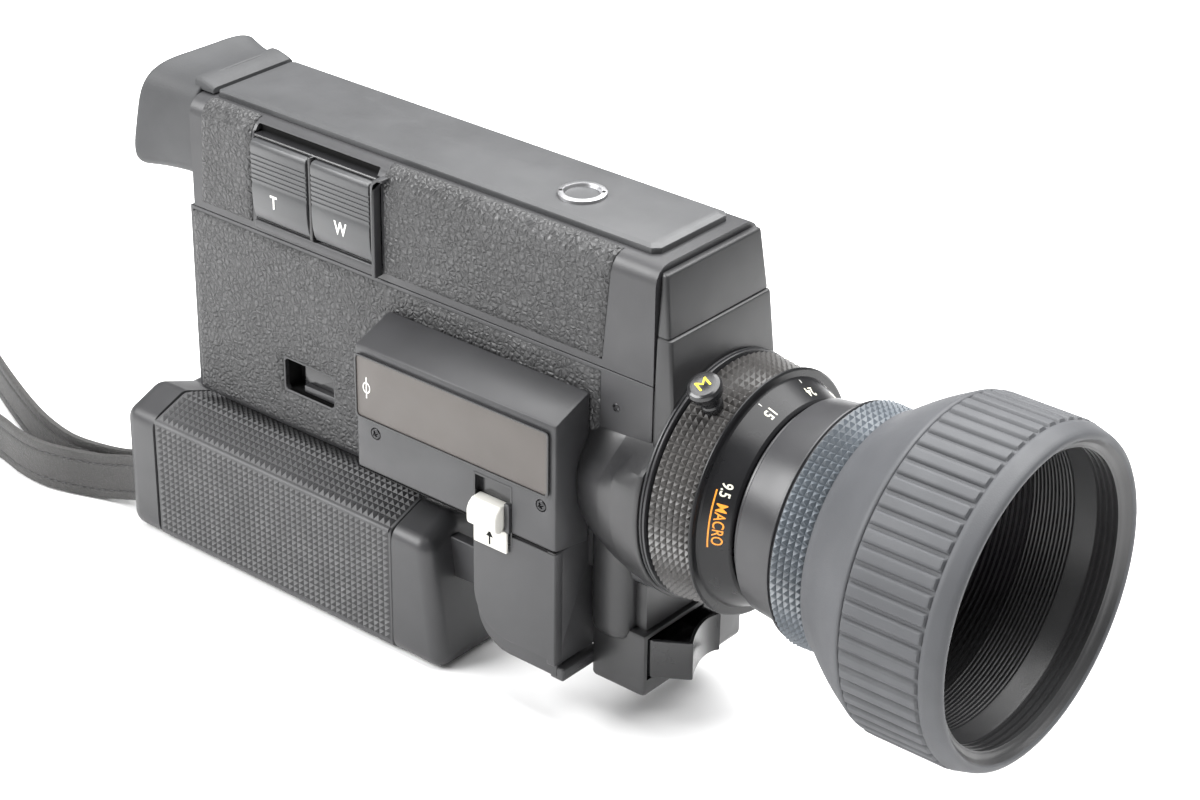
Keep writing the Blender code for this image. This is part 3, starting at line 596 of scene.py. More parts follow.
def smooth_route(points, steps):
    """A Catmull-Rom curve through the points, with this many steps from each to the next."""
    knots = [Vector(point) for point in points]
    knots = [2 * knots[0] - knots[1]] + knots + [2 * knots[-1] - knots[-2]]
    route = []
    for a, b, c, d in zip(knots, knots[1:], knots[2:], knots[3:]):
        for step in range(steps):
            t = step / steps
            square, cube = 2 * a - 5 * b + 4 * c - d, 3 * b - a - 3 * c + d
            route.append(0.5 * (2 * b + (c - a) * t + square * t**2 + cube * t**3))
    return route + [knots[-2]]


def band_section():
    """The band across: rounded edges, and a sewn groove near both edges on both faces."""
    half, thick = STRAP_WIDTH / 2, STRAP_THICK / 2
    upper = (2.4, 3.6, 4.0, SEAM, 4.5, 4.9, 5.6, 6.6)
    face = []
    for tall in [-tall for tall in reversed(upper)] + [0, *upper]:
        groove = max(0.0, 1 - abs(abs(tall) - SEAM) / 0.55)
        crown = 0.12 * (1 - (tall / half) ** 2)
        face.append((thick - 0.10 + crown - 0.34 * groove, tall))
    edge = [(0.72 * thick, 7.02), (0.0, half), (-0.72 * thick, 7.02)]
    other = [(-side, -tall) for side, tall in face]
    return face + edge + other + [(-side, -tall) for side, tall in edge]


def strap():
    """The strap's band along its route, with four rows of stitches."""
    route = smooth_route(STRAP_ROUTE, 10)
    section = band_section()
    rows, sides, along = [], [], []
    for i, point in enumerate(route):
        ahead = route[min(i + 1, len(route) - 1)] - route[max(i - 1, 0)]
        side = Vector((-ahead.y, ahead.x, 0)).normalized()
        sides.append(side)
        along.append(ahead.normalized())
        rows.append([at(*(point + side * across + Vector((0, 0, tall)))) for across, tall in section])
    band = make("strap_band", *capped(rows), "strap", "grip", "wrist_strap", 50)

    points, faces = [], []
    travelled, due = 0.0, 9.0
    for i in range(1, len(route)):
        travelled += (route[i] - route[i - 1]).length
        if travelled < due:
            continue
        due += STITCH_PITCH
        for side in (sides[i], -sides[i]):
            for tall in (SEAM, -SEAM):
                centre = route[i] + side * (STRAP_THICK / 2 - 0.30) + Vector((0, 0, tall))
                rows = []
                for reach, girth in STITCH:
                    middle = centre + along[i] * reach
                    rows.append([
                        at(*(middle + (sides[i] * u + Vector((0, 0, v))) * girth))
                        for u, v in circle((0.0, 0.0), 1.0, 6)
                    ])
                first = len(points)
                stitch_points, stitch_faces = strip(rows)
                points += stitch_points
                faces += [tuple(first + index for index in face) for face in stitch_faces]
    stitches = make("strap_stitches", points, faces, "body", "grip", None, 60)
    path = [tuple(at(*point)) for point in route]
    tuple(path[0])


strap()


# ---------------------------------------------------------------- body, plates and leather

SHELL_HALF = 19.8
BODY_TOP = 131.3
TOP_RADIUS = 5.0
LEATHER_Y = -19.9
LEATHER_THICK = 0.62
HOUSING_Y = -33.75


def solids():
    """The moulded solids, with rounded edges."""
    for node, look, width in (
        ("upper_cover", "body", 0.45), ("lower_body", "body", 0.45), ("key_surround", "gloss", 0.25),
        ("side_housing", "body", 0.45), ("grip_bracket", "body", 0.4), ("front_block", "front", 0.6),
        ("film_door", "plate", 0.5), ("eyepiece_tube", "gloss", 0.3),
    ):
        refined(node, look, width)


def hide_panel(name, node, columns, rows, spot, hole=None):
    """A leather panel as one closed sheet. spot(u, v, height) takes 0 to 1 both ways and a height in mm."""
    points, faces = [], []

    def height(i, j):
        edge = min(i, columns - i, j, rows - j)
        if hole:
            i0, i1, j0, j1 = hole
            beyond = max(i0 - i, i - i1, j0 - j, j - j1)
            edge = min(edge, max(beyond, 0))
        return LEATHER_THICK * (0.0, 0.72, 0.94, 1.0)[min(edge, 3)]

    def inside_hole(i, j):
        return hole and hole[0] <= i < hole[1] and hole[2] <= j < hole[3]

    stride = rows + 1
    for i in range(columns + 1):
        for j in range(stride):
            points.append(spot(i / columns, j / rows, height(i, j)))
    for i in range(columns):
        for j in range(rows):
            if not inside_hole(i, j):
                here = i * stride + j
                faces.append((here, here + stride, here + stride + 1, here + 1))
    for j in range(rows):
        start = None
        for i in range(columns + 1):
            solid = i < columns and not inside_hole(i, j)
            if solid and start is None:
                start = i
            if not solid and start is not None:
                first, last = start * stride + j, i * stride + j
                faces.append((first, first + 1, last + 1, last))
                start = None
    return make(name, points, faces, "hide", "camera_body", node, 70)


def wrapped(corners):
    """The way over the right side and its rounded top edge, between two slanted ends."""
    low_back, low_front, high_back, high_front = corners
    half = SHELL_HALF + 0.1
    radius = TOP_RADIUS + 0.05
    centre_y, centre_z = -half + radius, BODY_TOP + 0.1 - radius
    foot = 102.4
    straight = centre_z - foot
    bend = radius * math.radians(83)

    def spot(u, v, height):
        travelled = v * (straight + bend)
        if travelled <= straight:
            y, z = -half - height, foot + travelled
        else:
            turn = (travelled - straight) / radius
            y = centre_y - (radius + height) * math.cos(turn)
            z = centre_z + (radius + height) * math.sin(turn)
        part = min(v, 1)
        back = low_back + (high_back - low_back) * part
        front = low_front + (high_front - low_front) * part
        return at(back + (front - back) * u, y, z)

    return spot


def flat_panel(low_x, high_x, low_z, high_z, side):
    """The way over a flat side: -1 is the right one and 1 the left one."""
    def spot(u, v, height):
        y = side * (SHELL_HALF + 0.1 + height)
        return at(low_x + (high_x - low_x) * u, y, low_z + (high_z - low_z) * v)

    return spot


def leathers():
    """The four leather panels. The right one has an opening."""
    hide_panel("hide_upper_rear", "leather_upper_rear", 24, 44, wrapped((-154.6, -135.4, -152.9, -134.4)))
    hide_panel("hide_upper_front", "leather_upper_front", 90, 44, wrapped((-88.0, -15.9, -87.4, -13.0)))
    columns, rows = 177, 66
    low_x, high_x, low_z, high_z = -158.4, -16.2, 45.6, 99.0
    hole = [round((x - low_x) / (high_x - low_x) * columns) for x in (-126.2, -107.0)]
    hole += [round((z - low_z) / (high_z - low_z) * rows) for z in (55.4, 65.8)]
    right = flat_panel(low_x, high_x, low_z, high_z, -1)
    hide_panel("hide_lower", "leather_lower", columns, rows, right, hole)
    hide_panel("hide_left", "leather_left", 90, 90, flat_panel(-72.6, -0.6, 45.6, 117.4, 1))


def window_recess():
    """What shows in the leather's opening: a deep black well, painted shade in the opening, with a plate and
    a ledge that don't fill it.
    """
    rows = [[at(x, y, z) for x, z in box_of((-125.6, 56.0), (-107.6, 65.2))] for y in (-19.6, -13.8)]
    points, faces = capped(rows)
    # The well's walls are deep black: painted shade in the opening.
    make("window_well_painted_shade", points, faces[:4] + [faces[-1]], "dark", sharp=30)
    slab("window_plate", (-121.6, -16.4, 56.2), (-108.0, -15.2, 63.0), 1, "gloss", corner=0.3)
    slab("window_ledge", (-120.2, -18.2, 56.2), (-108.2, -16.2, 58.2), 1, "body", corner=0.3)


def top_plates():
    """The raised top plate, with clipped corners and a soft step round its edge."""
    outline = [
        (-153, -13.2), (-152, -14.1), (-6, -14.1), (-4.3, -12.4),
        (-4.3, 12.4), (-6, 14.1), (-152, 14.1), (-153, 13.2),
    ]
    rows = []
    for level, inset in ((131.35, 0.0), (132.5, 0.0), (132.75, 0.08), (133.2, 1.1), (133.3, 1.4)):
        row = []
        for x, y in filleted(outline, 0.5):
            row.append(at(x + inset * (1 if x < -80 else -1), y - inset * (1 if y > 0 else -1), level))
        rows.append(row)
    plate = make("top_plate_finished", *capped(rows), "plate", "camera_body", "top_plate", 20)
    bevelled(plate, 0.12, 2, 18)


def socket():
    """The turned ring in the top plate, with two deep black dots on its rim that are painted shade for its
    two holes, and three dark pins in its well.
    """
    centre = (-37.4, -2.1)
    profile = (
        (0.02, 132.0), (1.5, 132.0), (1.7, 131.9), (3.1, 131.8), (4.0, 132.0), (4.3, 132.3), (4.5, 133.9),
        (4.75, 134.2), (5.8, 134.2), (6.15, 134.05), (6.3, 133.7), (6.3, 131.4),
    )
    rings = [[at(x, y, level) for x, y in circle(centre, radius, 72)] for radius, level in profile]
    make("socket_finished", *capped(rings), "chrome", "camera_body", "socket_ring", 40)
    # Two deep black discs on the rim: painted shade standing in for the holes.
    for angle in (35, 215):
        middle = circle(centre, 5.3, 1, math.radians(angle))[0]
        prism(f"socket_hole_painted_shade_{angle}", circle(middle, 0.5, 16), 134.0, 134.23, 2, "dark", corner=0, edge=0.02)
    for index, (x, y, size) in enumerate(((-1.7, 0.7, 0.9), (1.5, 0.9, 0.9), (0.2, -1.5, 1.1))):
        pin = circle((centre[0] + x, centre[1] + y), size, 20)
        prism(f"socket_pin_{index}", pin, 131.8, 132.4, 2, "dark", corner=0, edge=0.12)


def cut_away(obj, cutter):
    """Takes the cutter's shape out of obj, and the cutter out of the scene."""
    modifier = obj.modifiers.new("cut", "BOOLEAN")
    modifier.operation = "DIFFERENCE"
    modifier.solver = "EXACT"
    modifier.object = cutter
    graph = bpy.context.evaluated_depsgraph_get()
    mesh = bpy.data.meshes.new_from_object(obj.evaluated_get(graph))
    obj.modifiers.clear()
    obj.data = mesh
    bpy.data.objects.remove(cutter)
    return obj


def front_plates():
    """The sloped plate over the lens in two storeys: the lower one stands a little further out."""
    def ring(z, front, half, corner=1.0):
        outline = filleted([(0.3, -half), (front, -half), (front, half), (0.3, half)], corner, 4)
        return [at(x, y, z) for x, y in outline]

    top, knee, foot = 129.6, 111.5, 96.0

    def sloped(z, at_top, at_knee, at_foot):
        if z > knee:
            return at_top + (top - z) * (at_knee - at_top) / (top - knee)
        return at_knee + (knee - z) * (at_foot - at_knee) / (knee - foot)

    def front_at(z):
        return sloped(z, 2.4, 4.6, 6.0)

    def half_at(z):
        return sloped(z, 18.2, 19.6, 20.4)

    upper, lower = [], []
    for z, inset in ((113.95, 0.0), (114.0, 0.0), (128.9, 0.0), (129.35, 0.18), (129.6, 0.5)):
        upper.append(ring(z, front_at(z) - inset - 0.25, half_at(z) - inset))
    for z, inset in ((84.2, 0.0), (93.0, 0.0), (112.9, 0.0), (113.35, 0.14), (113.6, 0.45)):
        lower.append(ring(z, front_at(z) - inset + 0.45, min(half_at(z) + 0.1, 20.35) - inset))
    make("front_plate_upper", *capped(upper), "front", "camera_body", "front_plate", 30)
    skirt = make("front_plate_lower", *capped(lower), "front", sharp=30)
    steps = 128
    rows = [[on_lens(x, 33.0, TURN * j / steps) for j in range(steps)] for x in (6.22, 20.0)]
    cut_away(skirt, make("lens_clearance", *capped(rows), "front"))
    skirt.data.set_sharp_from_angle(angle=math.radians(30))


def keys():
    """The two zoom keys: a polished top edge, seven fine ridges and a plain foot that slopes in."""
    face, top, pitch, depth = -22.2, 124.4, 1.34, 0.24
    ridges = []
    for k in range(7):
        z = top - k * pitch
        ridges += [(face, z), (face, z - 0.55 * pitch)]
        ridges += [(face + depth, z - 0.64 * pitch), (face + depth, z - 0.93 * pitch)]
    outline = [(-17.0, 104.6), (-17.0, 127.1), (-20.7, 127.1), (-21.6, 126.8), (-22.1, 126.0), (face, 125.2)]
    outline += ridges
    outline += [(face, 114.6), (face, 112.0), (-22.0, 108.9), (-21.5, 106.2), (-20.9, 105.0), (-19.4, 104.6)]
    for name, low, high in (("key_t", -132.8, -112.8), ("key_w", -111.0, -90.5)):
        prism(name + "_finished", outline, low, high, 0, "keys", name, name, 0, 0.22, 26)
        middle = (low + high) / 2 + (-2.0 if name == "key_t" else 0.0)
        letter = name[-1].upper()

        def spot(u, v, height, middle=middle):
            return at(middle + u, face + 0.03 - height, 111.3 + v)

        lettering("letter_" + letter, letter, 5.2, "white", name, spot, 0.06, 0.07, 0.8)
    slab("key_divider", (-112.5, -21.7, 104.4), (-111.35, -14.0, 127.8), 1, "gloss", corner=0.25)
    slab("key_foot", (-133.3, -21.2, 101.6), (-89.0, -19.7, 104.1), 1, "body", corner=0.5, edge=0.4)
    rib = [
        (-89.9, 101.4), (-88.55, 101.4), (-88.55, 125.6), (-88.1, 127.2), (-87.0, 128.2), (-85.4, 128.5),
        (-85.4, 129.5), (-87.4, 129.4), (-89.0, 128.4), (-89.8, 126.6),
    ]
    prism("key_rib", rib, -22.5, -19.7, 1, "body", corner=0.4, edge=0.4)


def screw(name, node, x, z, y_face, radius):
    """A crosshead screw seen from the right: a domed head with a cross that tapers in."""
    steps, circles, skew, cross_turn, cross_reach = 48, 14, 0.35, 0.5, 0.68 * radius
    rows = []
    for ring in range(1, circles + 1):
        share = ring / circles
        dome = 0.22 * (1 - share**2)
        rim = -0.18 * smoothstep(0.9, 1.0, share)
        row = []
        for u, v in circle((0.0, 0.0), radius * share, steps, skew):
            a = u * math.cos(cross_turn) + v * math.sin(cross_turn)
            b = v * math.cos(cross_turn) - u * math.sin(cross_turn)
            across, along = min(abs(a), abs(b)), max(abs(a), abs(b))
            dip = 0.0
            if along < cross_reach:
                dip = 0.5 * (1 - smoothstep(0.10 * radius, 0.20 * radius, across))
                dip *= 1 - smoothstep(0.5 * radius, cross_reach, along)
            row.append(at(x + u, y_face - dome - rim + dip, z + v))
        rows.append(row)
    rows.append([at(u, y_face + 1.2, v) for u, v in circle((x, z), radius, steps, skew)])
    make(name, *capped(rows), "screw", "camera_body", node, 50)


def housing_details():
    """The label with its raised frame, the film-plane mark, three screws and the seam over the arm."""
    outline = filleted(box_of((-84.3, 68.9), (-20.5, 86.1)), 1.2, 4)
    middle_x, middle_z = -52.4, 77.5
    prism("label_finished", outline, -34.42, -33.9, 1, "label", "camera_body", "label_plate", 0, 0.08)
    rows = []
    frame_section = (
        (0.0, -33.5), (0.0, -34.62), (-0.12, -34.68), (-0.38, -34.68), (-0.5, -34.62), (-0.5, -34.3),
    )
    for grow, y in frame_section:
        ring = []
        for x, z in outline:
            ring.append(at(x + math.copysign(grow, x - middle_x), y, z + math.copysign(grow, z - middle_z)))
        rows.append(ring)
    make("label_border", *strip(rows, True), "gloss", sharp=40)
    x, z = -80.9, 77.6
    rings = []
    for radius, y in ((1.25, -34.40), (1.25, -34.45), (1.6, -34.45), (1.6, -34.40)):
        rings.append([at(x + 0.8 * u, y, z + v) for u, v in circle((0.0, 0.0), radius, 40)])
    make("film_plane_circle", *strip(rings, True), "white")
    line = box_of((x - 0.17, z - 3.0), (x + 0.17, z + 3.0))
    prism("film_plane_line", line, -34.46, -34.38, 1, "white", corner=0, edge=0)
    screw("screw_rear", "housing_screw_rear", -78.7, 64.8, HOUSING_Y - 0.02, 1.5)
    screw("screw_front", "housing_screw_front", -23.0, 65.0, HOUSING_Y - 0.02, 1.5)
    screw("screw_side", None, -11.2, 90.8, LEATHER_Y, 1.15)
    seam = box_of((-85.45, 53.0), (-18.45, 53.25))
    prism("housing_seam", seam, HOUSING_Y - 0.06, HOUSING_Y + 0.4, 1, "dark", corner=0, edge=0)


def slide():
    """The ivory slide: a thumb cap over a flat tab with an arrow, in a shallow black well."""
    cap = [
        (-37.6, 55.0), (-37.6, 57.7), (-36.9, 59.3), (-35.4, 60.5), (-32.1, 60.6), (-32.1, 54.1),
        (-34.0, 54.0), (-34.0, 53.0), (-36.4, 53.2), (-37.3, 53.9),
    ]
    prism("slide_cap", cap, -44.4, -34.6, 0, "ivory", "grip_slide", "grip_slide", 0.5, 0.6)
    slab("slide_tab", (-44.4, -34.75, 47.4), (-33.4, -34.05, 53.6), 1, "ivory", "grip_slide", None, 0.4, 0.15)
    slab("slide_guide", (-34.4, -34.6, 53.2), (-32.8, -33.0, 61.6), 1, "lens", "grip_slide", None, 0.3, 0.2)
    stem, head, tip, foot = 0.25, 1.1, 52.3, 48.2
    arrow = [(-stem, foot), (stem, foot), (stem, 50.5), (head, 50.5), (0, tip), (-head, 50.5), (-stem, 50.5)]
    arrow = [(-39.0 + x, z) for x, z in arrow]
    prism("slide_arrow", arrow, -34.80, -34.72, 1, "dark", "grip_slide", None, 0, 0)
    well, inner = box_of((-45.2, 49.8), (-32.4, 66.6)), box_of((-44.6, 50.4), (-33.0, 66.0))
    levels = ((well, -33.5), (well, -33.85), (inner, -33.85), (inner, -31.8))
    rows = [[at(x, y, z) for x, z in outline] for outline, y in levels]
    make("slide_well", *strip(rows), "gloss", sharp=30)
    slab("slide_bed", (-44.8, -32.3, 50.2), (-32.8, -31.7, 66.2), 1, "gloss", corner=0.4, edge=0.1)


def open_slot():
    """The slot over the keys, cut through the cover's edge, with a deep black floor that is painted shade in
    it.
    """
    low, high = (-133.4, -23.0, 127.3), (-90.0, -15.2, 130.2)
    cutter = slab("slot_cutter", low, high, 1, "dark", corner=0.4, edge=0)
    cover = bpy.data.objects["upper_cover_finished"]
    cut_away(cover, cutter)
    bevelled(cover, 0.4)
    outline = box_of((low[0], low[2] - 0.3), (high[0], high[2]))
    rows = [[at(x, y, z) for x, z in outline] for y in (-17.2, -15.0)]
    # A deep black slab in the slot: painted shade.
    make("slot_floor_painted_shade", *capped(rows), "dark", sharp=30)


def latch_slot_shade():
    """A deep black sheet behind the slot that the door latch slides in: painted shade in the slot."""
    slab("latch_slot_painted_shade", (-156.0, 16.4, 75.0), (-146.6, 17.2, 91.0), 1, "dark", "film_door", None, 0.5, 0.2)


def arm():
    """The arm under the housing: a plate, a deep front wall, and a lower step with a wall of its own."""
    outline = arc((-34.0, 32.6), 11.6, 180, 270, 16) + [(-18.4, 21.0), (-18.4, 52.4), (-45.6, 52.4)]
    inside = HOUSING_Y + 3.4
    prism("arm_finished", outline, HOUSING_Y, inside, 1, "body", "camera_body", "arm_plate", 0, 0.6, 30)
    slab("arm_front_wall", (-21.3, -33.5, 19.6), (-18.45, -17.2, 52.7), 0, "body", corner=0.5, edge=0.4)
    step = arc((-34.4, 27.2), 11.2, 180, 270, 16) + [(-18.7, 16.0), (-18.7, 30.0), (-45.6, 30.0)]
    prism("arm_step", step, -32.4, -30.1, 1, "body", "camera_body", None, 0, 0.6, 30)
    slab("arm_step_front", (-21.2, -32.2, 15.2), (-16.8, -17.2, 18.9), 0, "body", corner=0.7, edge=0.6)


def dome():
    """The dome behind the lens, which runs into the flat side above it."""
    steps, dome_top, flat_side, crown = 192, 13.6, 19.4, 24.0
    profile = [
        (-19.2, 20.0), (-19.2, 24.6), (-18.6, 25.9), (-17.0, 26.9), (-13.0, 28.5), (-8.0, 30.3), (-3.0, 31.7),
        (1.5, 32.5), (5.0, 32.9), (5.9, 32.9), (6.1, 32.6), (6.1, 20.0),
    ]
    rows = []
    for x, radius in filleted(profile, 0.3, 2):
        span = 12.0 - 10.6 * smoothstep(-12.0, 5.0, x)
        row = []
        for j in range(steps):
            angle = TURN * j / steps
            y, z = -radius * math.sin(angle), radius * math.cos(angle)
            share = min(max((dome_top - z) / span, 0.0), 1.0)
            reach = max(abs(y) - flat_side, 0.0) * math.sin(share * math.pi / 2)
            row.append(at(x, math.copysign(min(abs(y), flat_side) + reach, y), AXIS_Z + min(z, crown)))
        rows.append(row)
    make("dome_finished", *strip(rows, True), "casting", "camera_body", "lens_mount_shell", 35)


def squared_circle(turn, power):
    """A point on a rounded square of half-width 1: the lower the power, the squarer it is."""
    across, upward = math.cos(turn), math.sin(turn)
    return math.copysign(abs(across) ** power, across), math.copysign(abs(upward) ** power, upward)


def pillar():
    """The rounded pillar under the dome, whose foot keeps clear of the trigger, a filler and a thin bead."""
    centre_x, centre_y, half_x, half_y = -11.6, -17.6, 6.3, 4.9
    foot_z, foot_y = 29.5, -19.2
    levels = (
        (26.0, 3.2), (26.1, 2.2), (26.6, 1.1), (27.4, 0.45),
        (28.6, 0.0), (29.4, 0.0), (29.7, 0.0), (58.0, 0.0),
    )
    rows = []
    for z, inset in levels:
        deepest = foot_y if z < foot_z else 0.0
        row = []
        for k in range(48):
            across, deep = squared_circle(TURN * k / 48, 0.75)
            y = min(centre_y + (half_y - inset) * deep, deepest)
            row.append(at(centre_x + (half_x - inset) * across, y, z))
        rows.append(row)
    make("front_pillar", *capped(rows), "casting", sharp=45)
    slab("front_filler", (-24.0, -20.7, 44.0), (-16.7, -19.5, 61.0), 1, "casting", corner=0.3)
    bead = [
        (-19.0, -20.6, 26.5), (-19.0, -20.6, 46.0), (-19.2, -20.8, 49.5), (-20.0, -22.0, 53.5),
        (-20.4, -24.0, 58.0),
    ]
    rows = [[at(x, y, p.z) for x, y in circle((p.x, p.y), 0.28, 8)] for p in smooth_route(bead, 5)]
    make("pillar_bead", *capped(rows), "casting", sharp=60)


solids()
open_slot()
latch_slot_shade()
arm()
dome()
pillar()
leathers()
window_recess()
top_plates()
socket()
front_plates()
keys()
housing_details()
slide()


# ---------------------------------------------------------------- lens


def knurl(name, x_low, x_high, r_low, r_high, columns, look, body):
    """A belt of small pyramids round a ring. The radii are those of the tips at both ends."""
    height, top, count = 1.05, 0.14, 92

    def spot(i, j, lift):
        part = i / columns
        x = x_low + (x_high - x_low) * part
        return on_lens(x, r_low + (r_high - r_low) * part - height + lift, TURN * j / count)

    points, faces = studs(columns, count, height, spot, top)
    return make(name, points, faces, look, body, None, 20)


CONE = ((22.1, 29.3), (28.8, 26.3))


def on_cone(x, angle, height=0.0):
    (x0, r0), (x1, r1) = CONE
    return on_lens(x, r0 + (x - x0) / (x1 - x0) * (r1 - r0) + height, angle)


def cone_text(name, text, size, look, x, degrees, squeeze, bold):
    """Figures round the cone: they read towards growing angles, with their tops to the front."""
    middle_radius = 27.6

    def spot(u, v, height):
        return on_cone(x + v, math.radians(degrees) + u / middle_radius, height + 0.01)

    return lettering(name, text, size, look, "zoom_ring", spot, 0.05, bold, squeeze)


def zoom_ring():
    """The zoom ring: a checkered belt, a thin flange, and a cone with the focal lengths."""
    lathe("zoom_ring_finished", [
        (1.4, 17.6), (1.4, 20.5), (7.0, 20.5), (7.0, 22.4),
        (8.3, 22.4), (8.3, 30.9), (8.8, 31.0), (20.0, 29.5),
        (20.3, 29.5), (20.6, 29.9), (20.7, 31.4), (21.0, 31.85), (21.4, 31.85), (21.7, 31.3), (21.7, 29.7),
        *CONE, (29.4, 25.6), (29.4, 17.6),
    ], "cone", "zoom_ring", "zoom_ring", 256, 0.16)
    knurl("zoom_ring_grip", 8.45, 20.1, 32.1, 30.7, 7, "knurl", "zoom_ring")
    for text, x, degrees, squeeze in (
        ("9.5", 26.0, 62.2, 0.85), ("15", 25.8, 16, 0.9), ("24", 26.2, -16, 0.9), ("36", 26.2, -40, 0.9),
        ("47.5", 26.2, -64, 0.9),
    ):
        cone_text("figure_" + text.replace(".", "_"), text, 3.5, "cream", x, degrees, squeeze, 0.05)
    cone_text("figure_macro", "MACRO", 3.7, "orange", 26.1, 80.2, 0.82, 0.02)
    steps = 40
    rows = []
    section = ((24.0, 0.0), (24.0, 0.05), (24.35, 0.05), (24.35, 0.0))
    for k in range(steps + 1):
        angle = math.radians(63 + 30 * k / steps)
        rows.append([on_cone(x, angle, lift) for x, lift in section])
    make("macro_line", *capped(rows), "orange", "zoom_ring")
    for degrees in (-64, -40, -16, 16):
        cone_text(f"tick_{degrees % 360}", "I", 1.3, "white", 22.9, degrees, 1.0, 0.02)


def macro_knob():
    """A little button on a neck, leaning with the ring, with a yellow letter on its cap."""
    lean = math.radians(28.9)
    outward = Vector((0, -math.sin(lean), math.cos(lean)))
    across = Vector((0, -math.cos(lean), -math.sin(lean)))
    forward = Vector((1, 0, 0))
    centre = Vector((14.4, 0, AXIS_Z))

    def spot(u, v, out):
        return at(*(centre + forward * v + across * u + outward * out))

    cap = 39.75
    profile = filleted([
        (31.0, 0.01), (31.0, 2.7), (32.8, 2.7), (33.3, 2.4),
        (35.8, 2.4), (36.4, 3.0), (36.7, 4.1), (38.7, 4.42),
        (39.5, 4.0), (cap, 3.3), (cap, 0.01),
    ], 0.22)
    rows = [[spot(u, v, out) for u, v in circle((0.0, 0.0), radius, 48)] for out, radius in profile]
    make("macro_knob_finished", *capped(rows), "gloss", "macro_knob", "macro_knob", 40)

    def on_cap(u, v, height):
        return spot(-0.92 * u - 0.4 * v, 0.4 * u - 0.92 * v, cap + 0.01 + height)

    lettering("letter_M", "M", 4.3, "yellow", "macro_knob", on_cap, 0.06, 0.0, 1.15)


def barrels():
    """The fixed flange and barrel, the focusing ring with its checkered belt, and the front ring."""
    lathe("lens_flange_finished", [
        (6.3, 23.0), (6.3, 32.2), (6.9, 32.3), (7.1, 31.8),
        (7.4, 31.8), (7.5, 32.3), (8.0, 32.2), (8.1, 23.0),
    ], "lens", "camera_body", "lens_flange", 256, 0.12)
    lathe("lens_barrel_finished", [
        (-1.4, 13.0), (-1.4, 16.6), (29.8, 16.6), (29.8, 25.4), (30.1, 25.6), (30.9, 25.6), (31.05, 25.2),
        (31.3, 25.2), (31.45, 25.6), (49.0, 25.6), (49.0, 23.0), (33.0, 23.0), (33.0, 13.0),
    ], "lens", "camera_body", "lens_barrel", 256, 0.12)
    lathe("focus_ring_finished", [
        (31.6, 26.0), (31.6, 27.3), (31.9, 27.55), (42.4, 28.8), (42.7, 28.8), (42.75, 30.2), (43.0, 30.75),
        (43.5, 30.75), (43.7, 30.1), (44.0, 30.1), (44.1, 30.3), (52.9, 29.9), (53.1, 29.8), (53.4, 29.8),
        (60.0, 29.8), (60.0, 28.4), (50.0, 28.4), (50.0, 26.0),
    ], "lens", "focus_ring", "focus_ring", 256, 0.14)
    knurl("focus_ring_grip", 44.1, 53.0, 31.45, 31.05, 5, "knurl_front", "focus_ring")
    lathe("front_lens_ring_finished", [
        (50.4, 20.0), (50.4, 28.0), (64.0, 28.0), (64.0, 27.2), (61.0, 27.0), (60.8, 26.4), (58.4, 26.2),
        (58.2, 25.9), (54.0, 25.4), (53.8, 24.2), (53.0, 24.0), (52.8, 22.6), (52.0, 20.0),
    ], "lens", "camera_body", "front_lens_ring", 192, 0.14)


def lens_glass(name, middle, radius, bulge):
    """A lens with a flatter back and a domed front."""
    shares = [max(k / 16, 0.003) for k in range(17)]
    profile = [(middle - 0.34 * bulge - 0.6 + 0.3 * bulge * share**2, radius * share) for share in shares]
    profile += [(middle + bulge * (1 - share**2) + 0.2, radius * share) for share in reversed(shares)]
    rows = [[on_lens(x, r, TURN * j / 96) for j in range(96)] for x, r in profile]
    make(name + "_finished", *capped(rows), "glass", "camera_body", name, 50)


HOOD_BARS = 62
STEPS_PER_BAR = 12
BELT_LOW, BELT_HIGH, BELT_RADIUS = 72.2, 93.6, 42.3


def hood_outer():
    """The hood's cone, up to the belt of bars."""
    outer = [(53.8, 30.8), (53.8, 31.7), (54.1, 32.1), (55.0, 32.6), (56.4, 33.4)]
    for k in range(1, 11):
        share = k / 10
        outer.append((56.4 + 13.6 * share, 33.4 + 8.7 * share + 0.5 * math.sin(math.pi * share)))
    return outer + [(70.6, 42.45), (71.3, 42.7), (71.8, 42.7), (72.1, 42.5)]


def hood_belt():
    """The belt's places along the lens, closer at both ends, where the bars run out."""
    places = {BELT_LOW + (BELT_HIGH - BELT_LOW) * k / 18 for k in range(19)}
    for extra in (0.25, 0.5, 0.9):
        places |= {BELT_LOW + extra, BELT_HIGH - extra}
    return [(x, BELT_RADIUS) for x in sorted(places)]


def hood_inner():
    """The hood inside, from its mouth back: four wide steps, a plain stretch and 21 fine ridges."""
    inner = []
    for k in range(4):
        x, rise = 96.2 - 1.7 * k, 0.09 * k
        inner += [(x, 36.9 + rise), (x - 0.6, 36.9 + rise), (x - 0.8, 37.6 + rise), (x - 1.45, 37.6 + rise)]
    inner += [(89.2, 37.5), (84.6, 37.7)]
    ridges, first_ridge, narrowing = 21, 84.2, 71
    for k in range(ridges):
        x = first_ridge - 1.12 * k
        if x > narrowing:
            radius = 37.3 + 0.11 * (first_ridge - x)
        else:
            radius = 38.4 - 0.58 * (narrowing - x)
        inner += [(x, radius), (x - 0.36, radius + 0.03)]
        inner += [(x - 0.62, radius + 0.34), (x - 0.95, radius + 0.32)]
    return [(x, r) for x, r in inner if x > 61.0] + [(60.4, 32.6), (60.4, 30.8)]


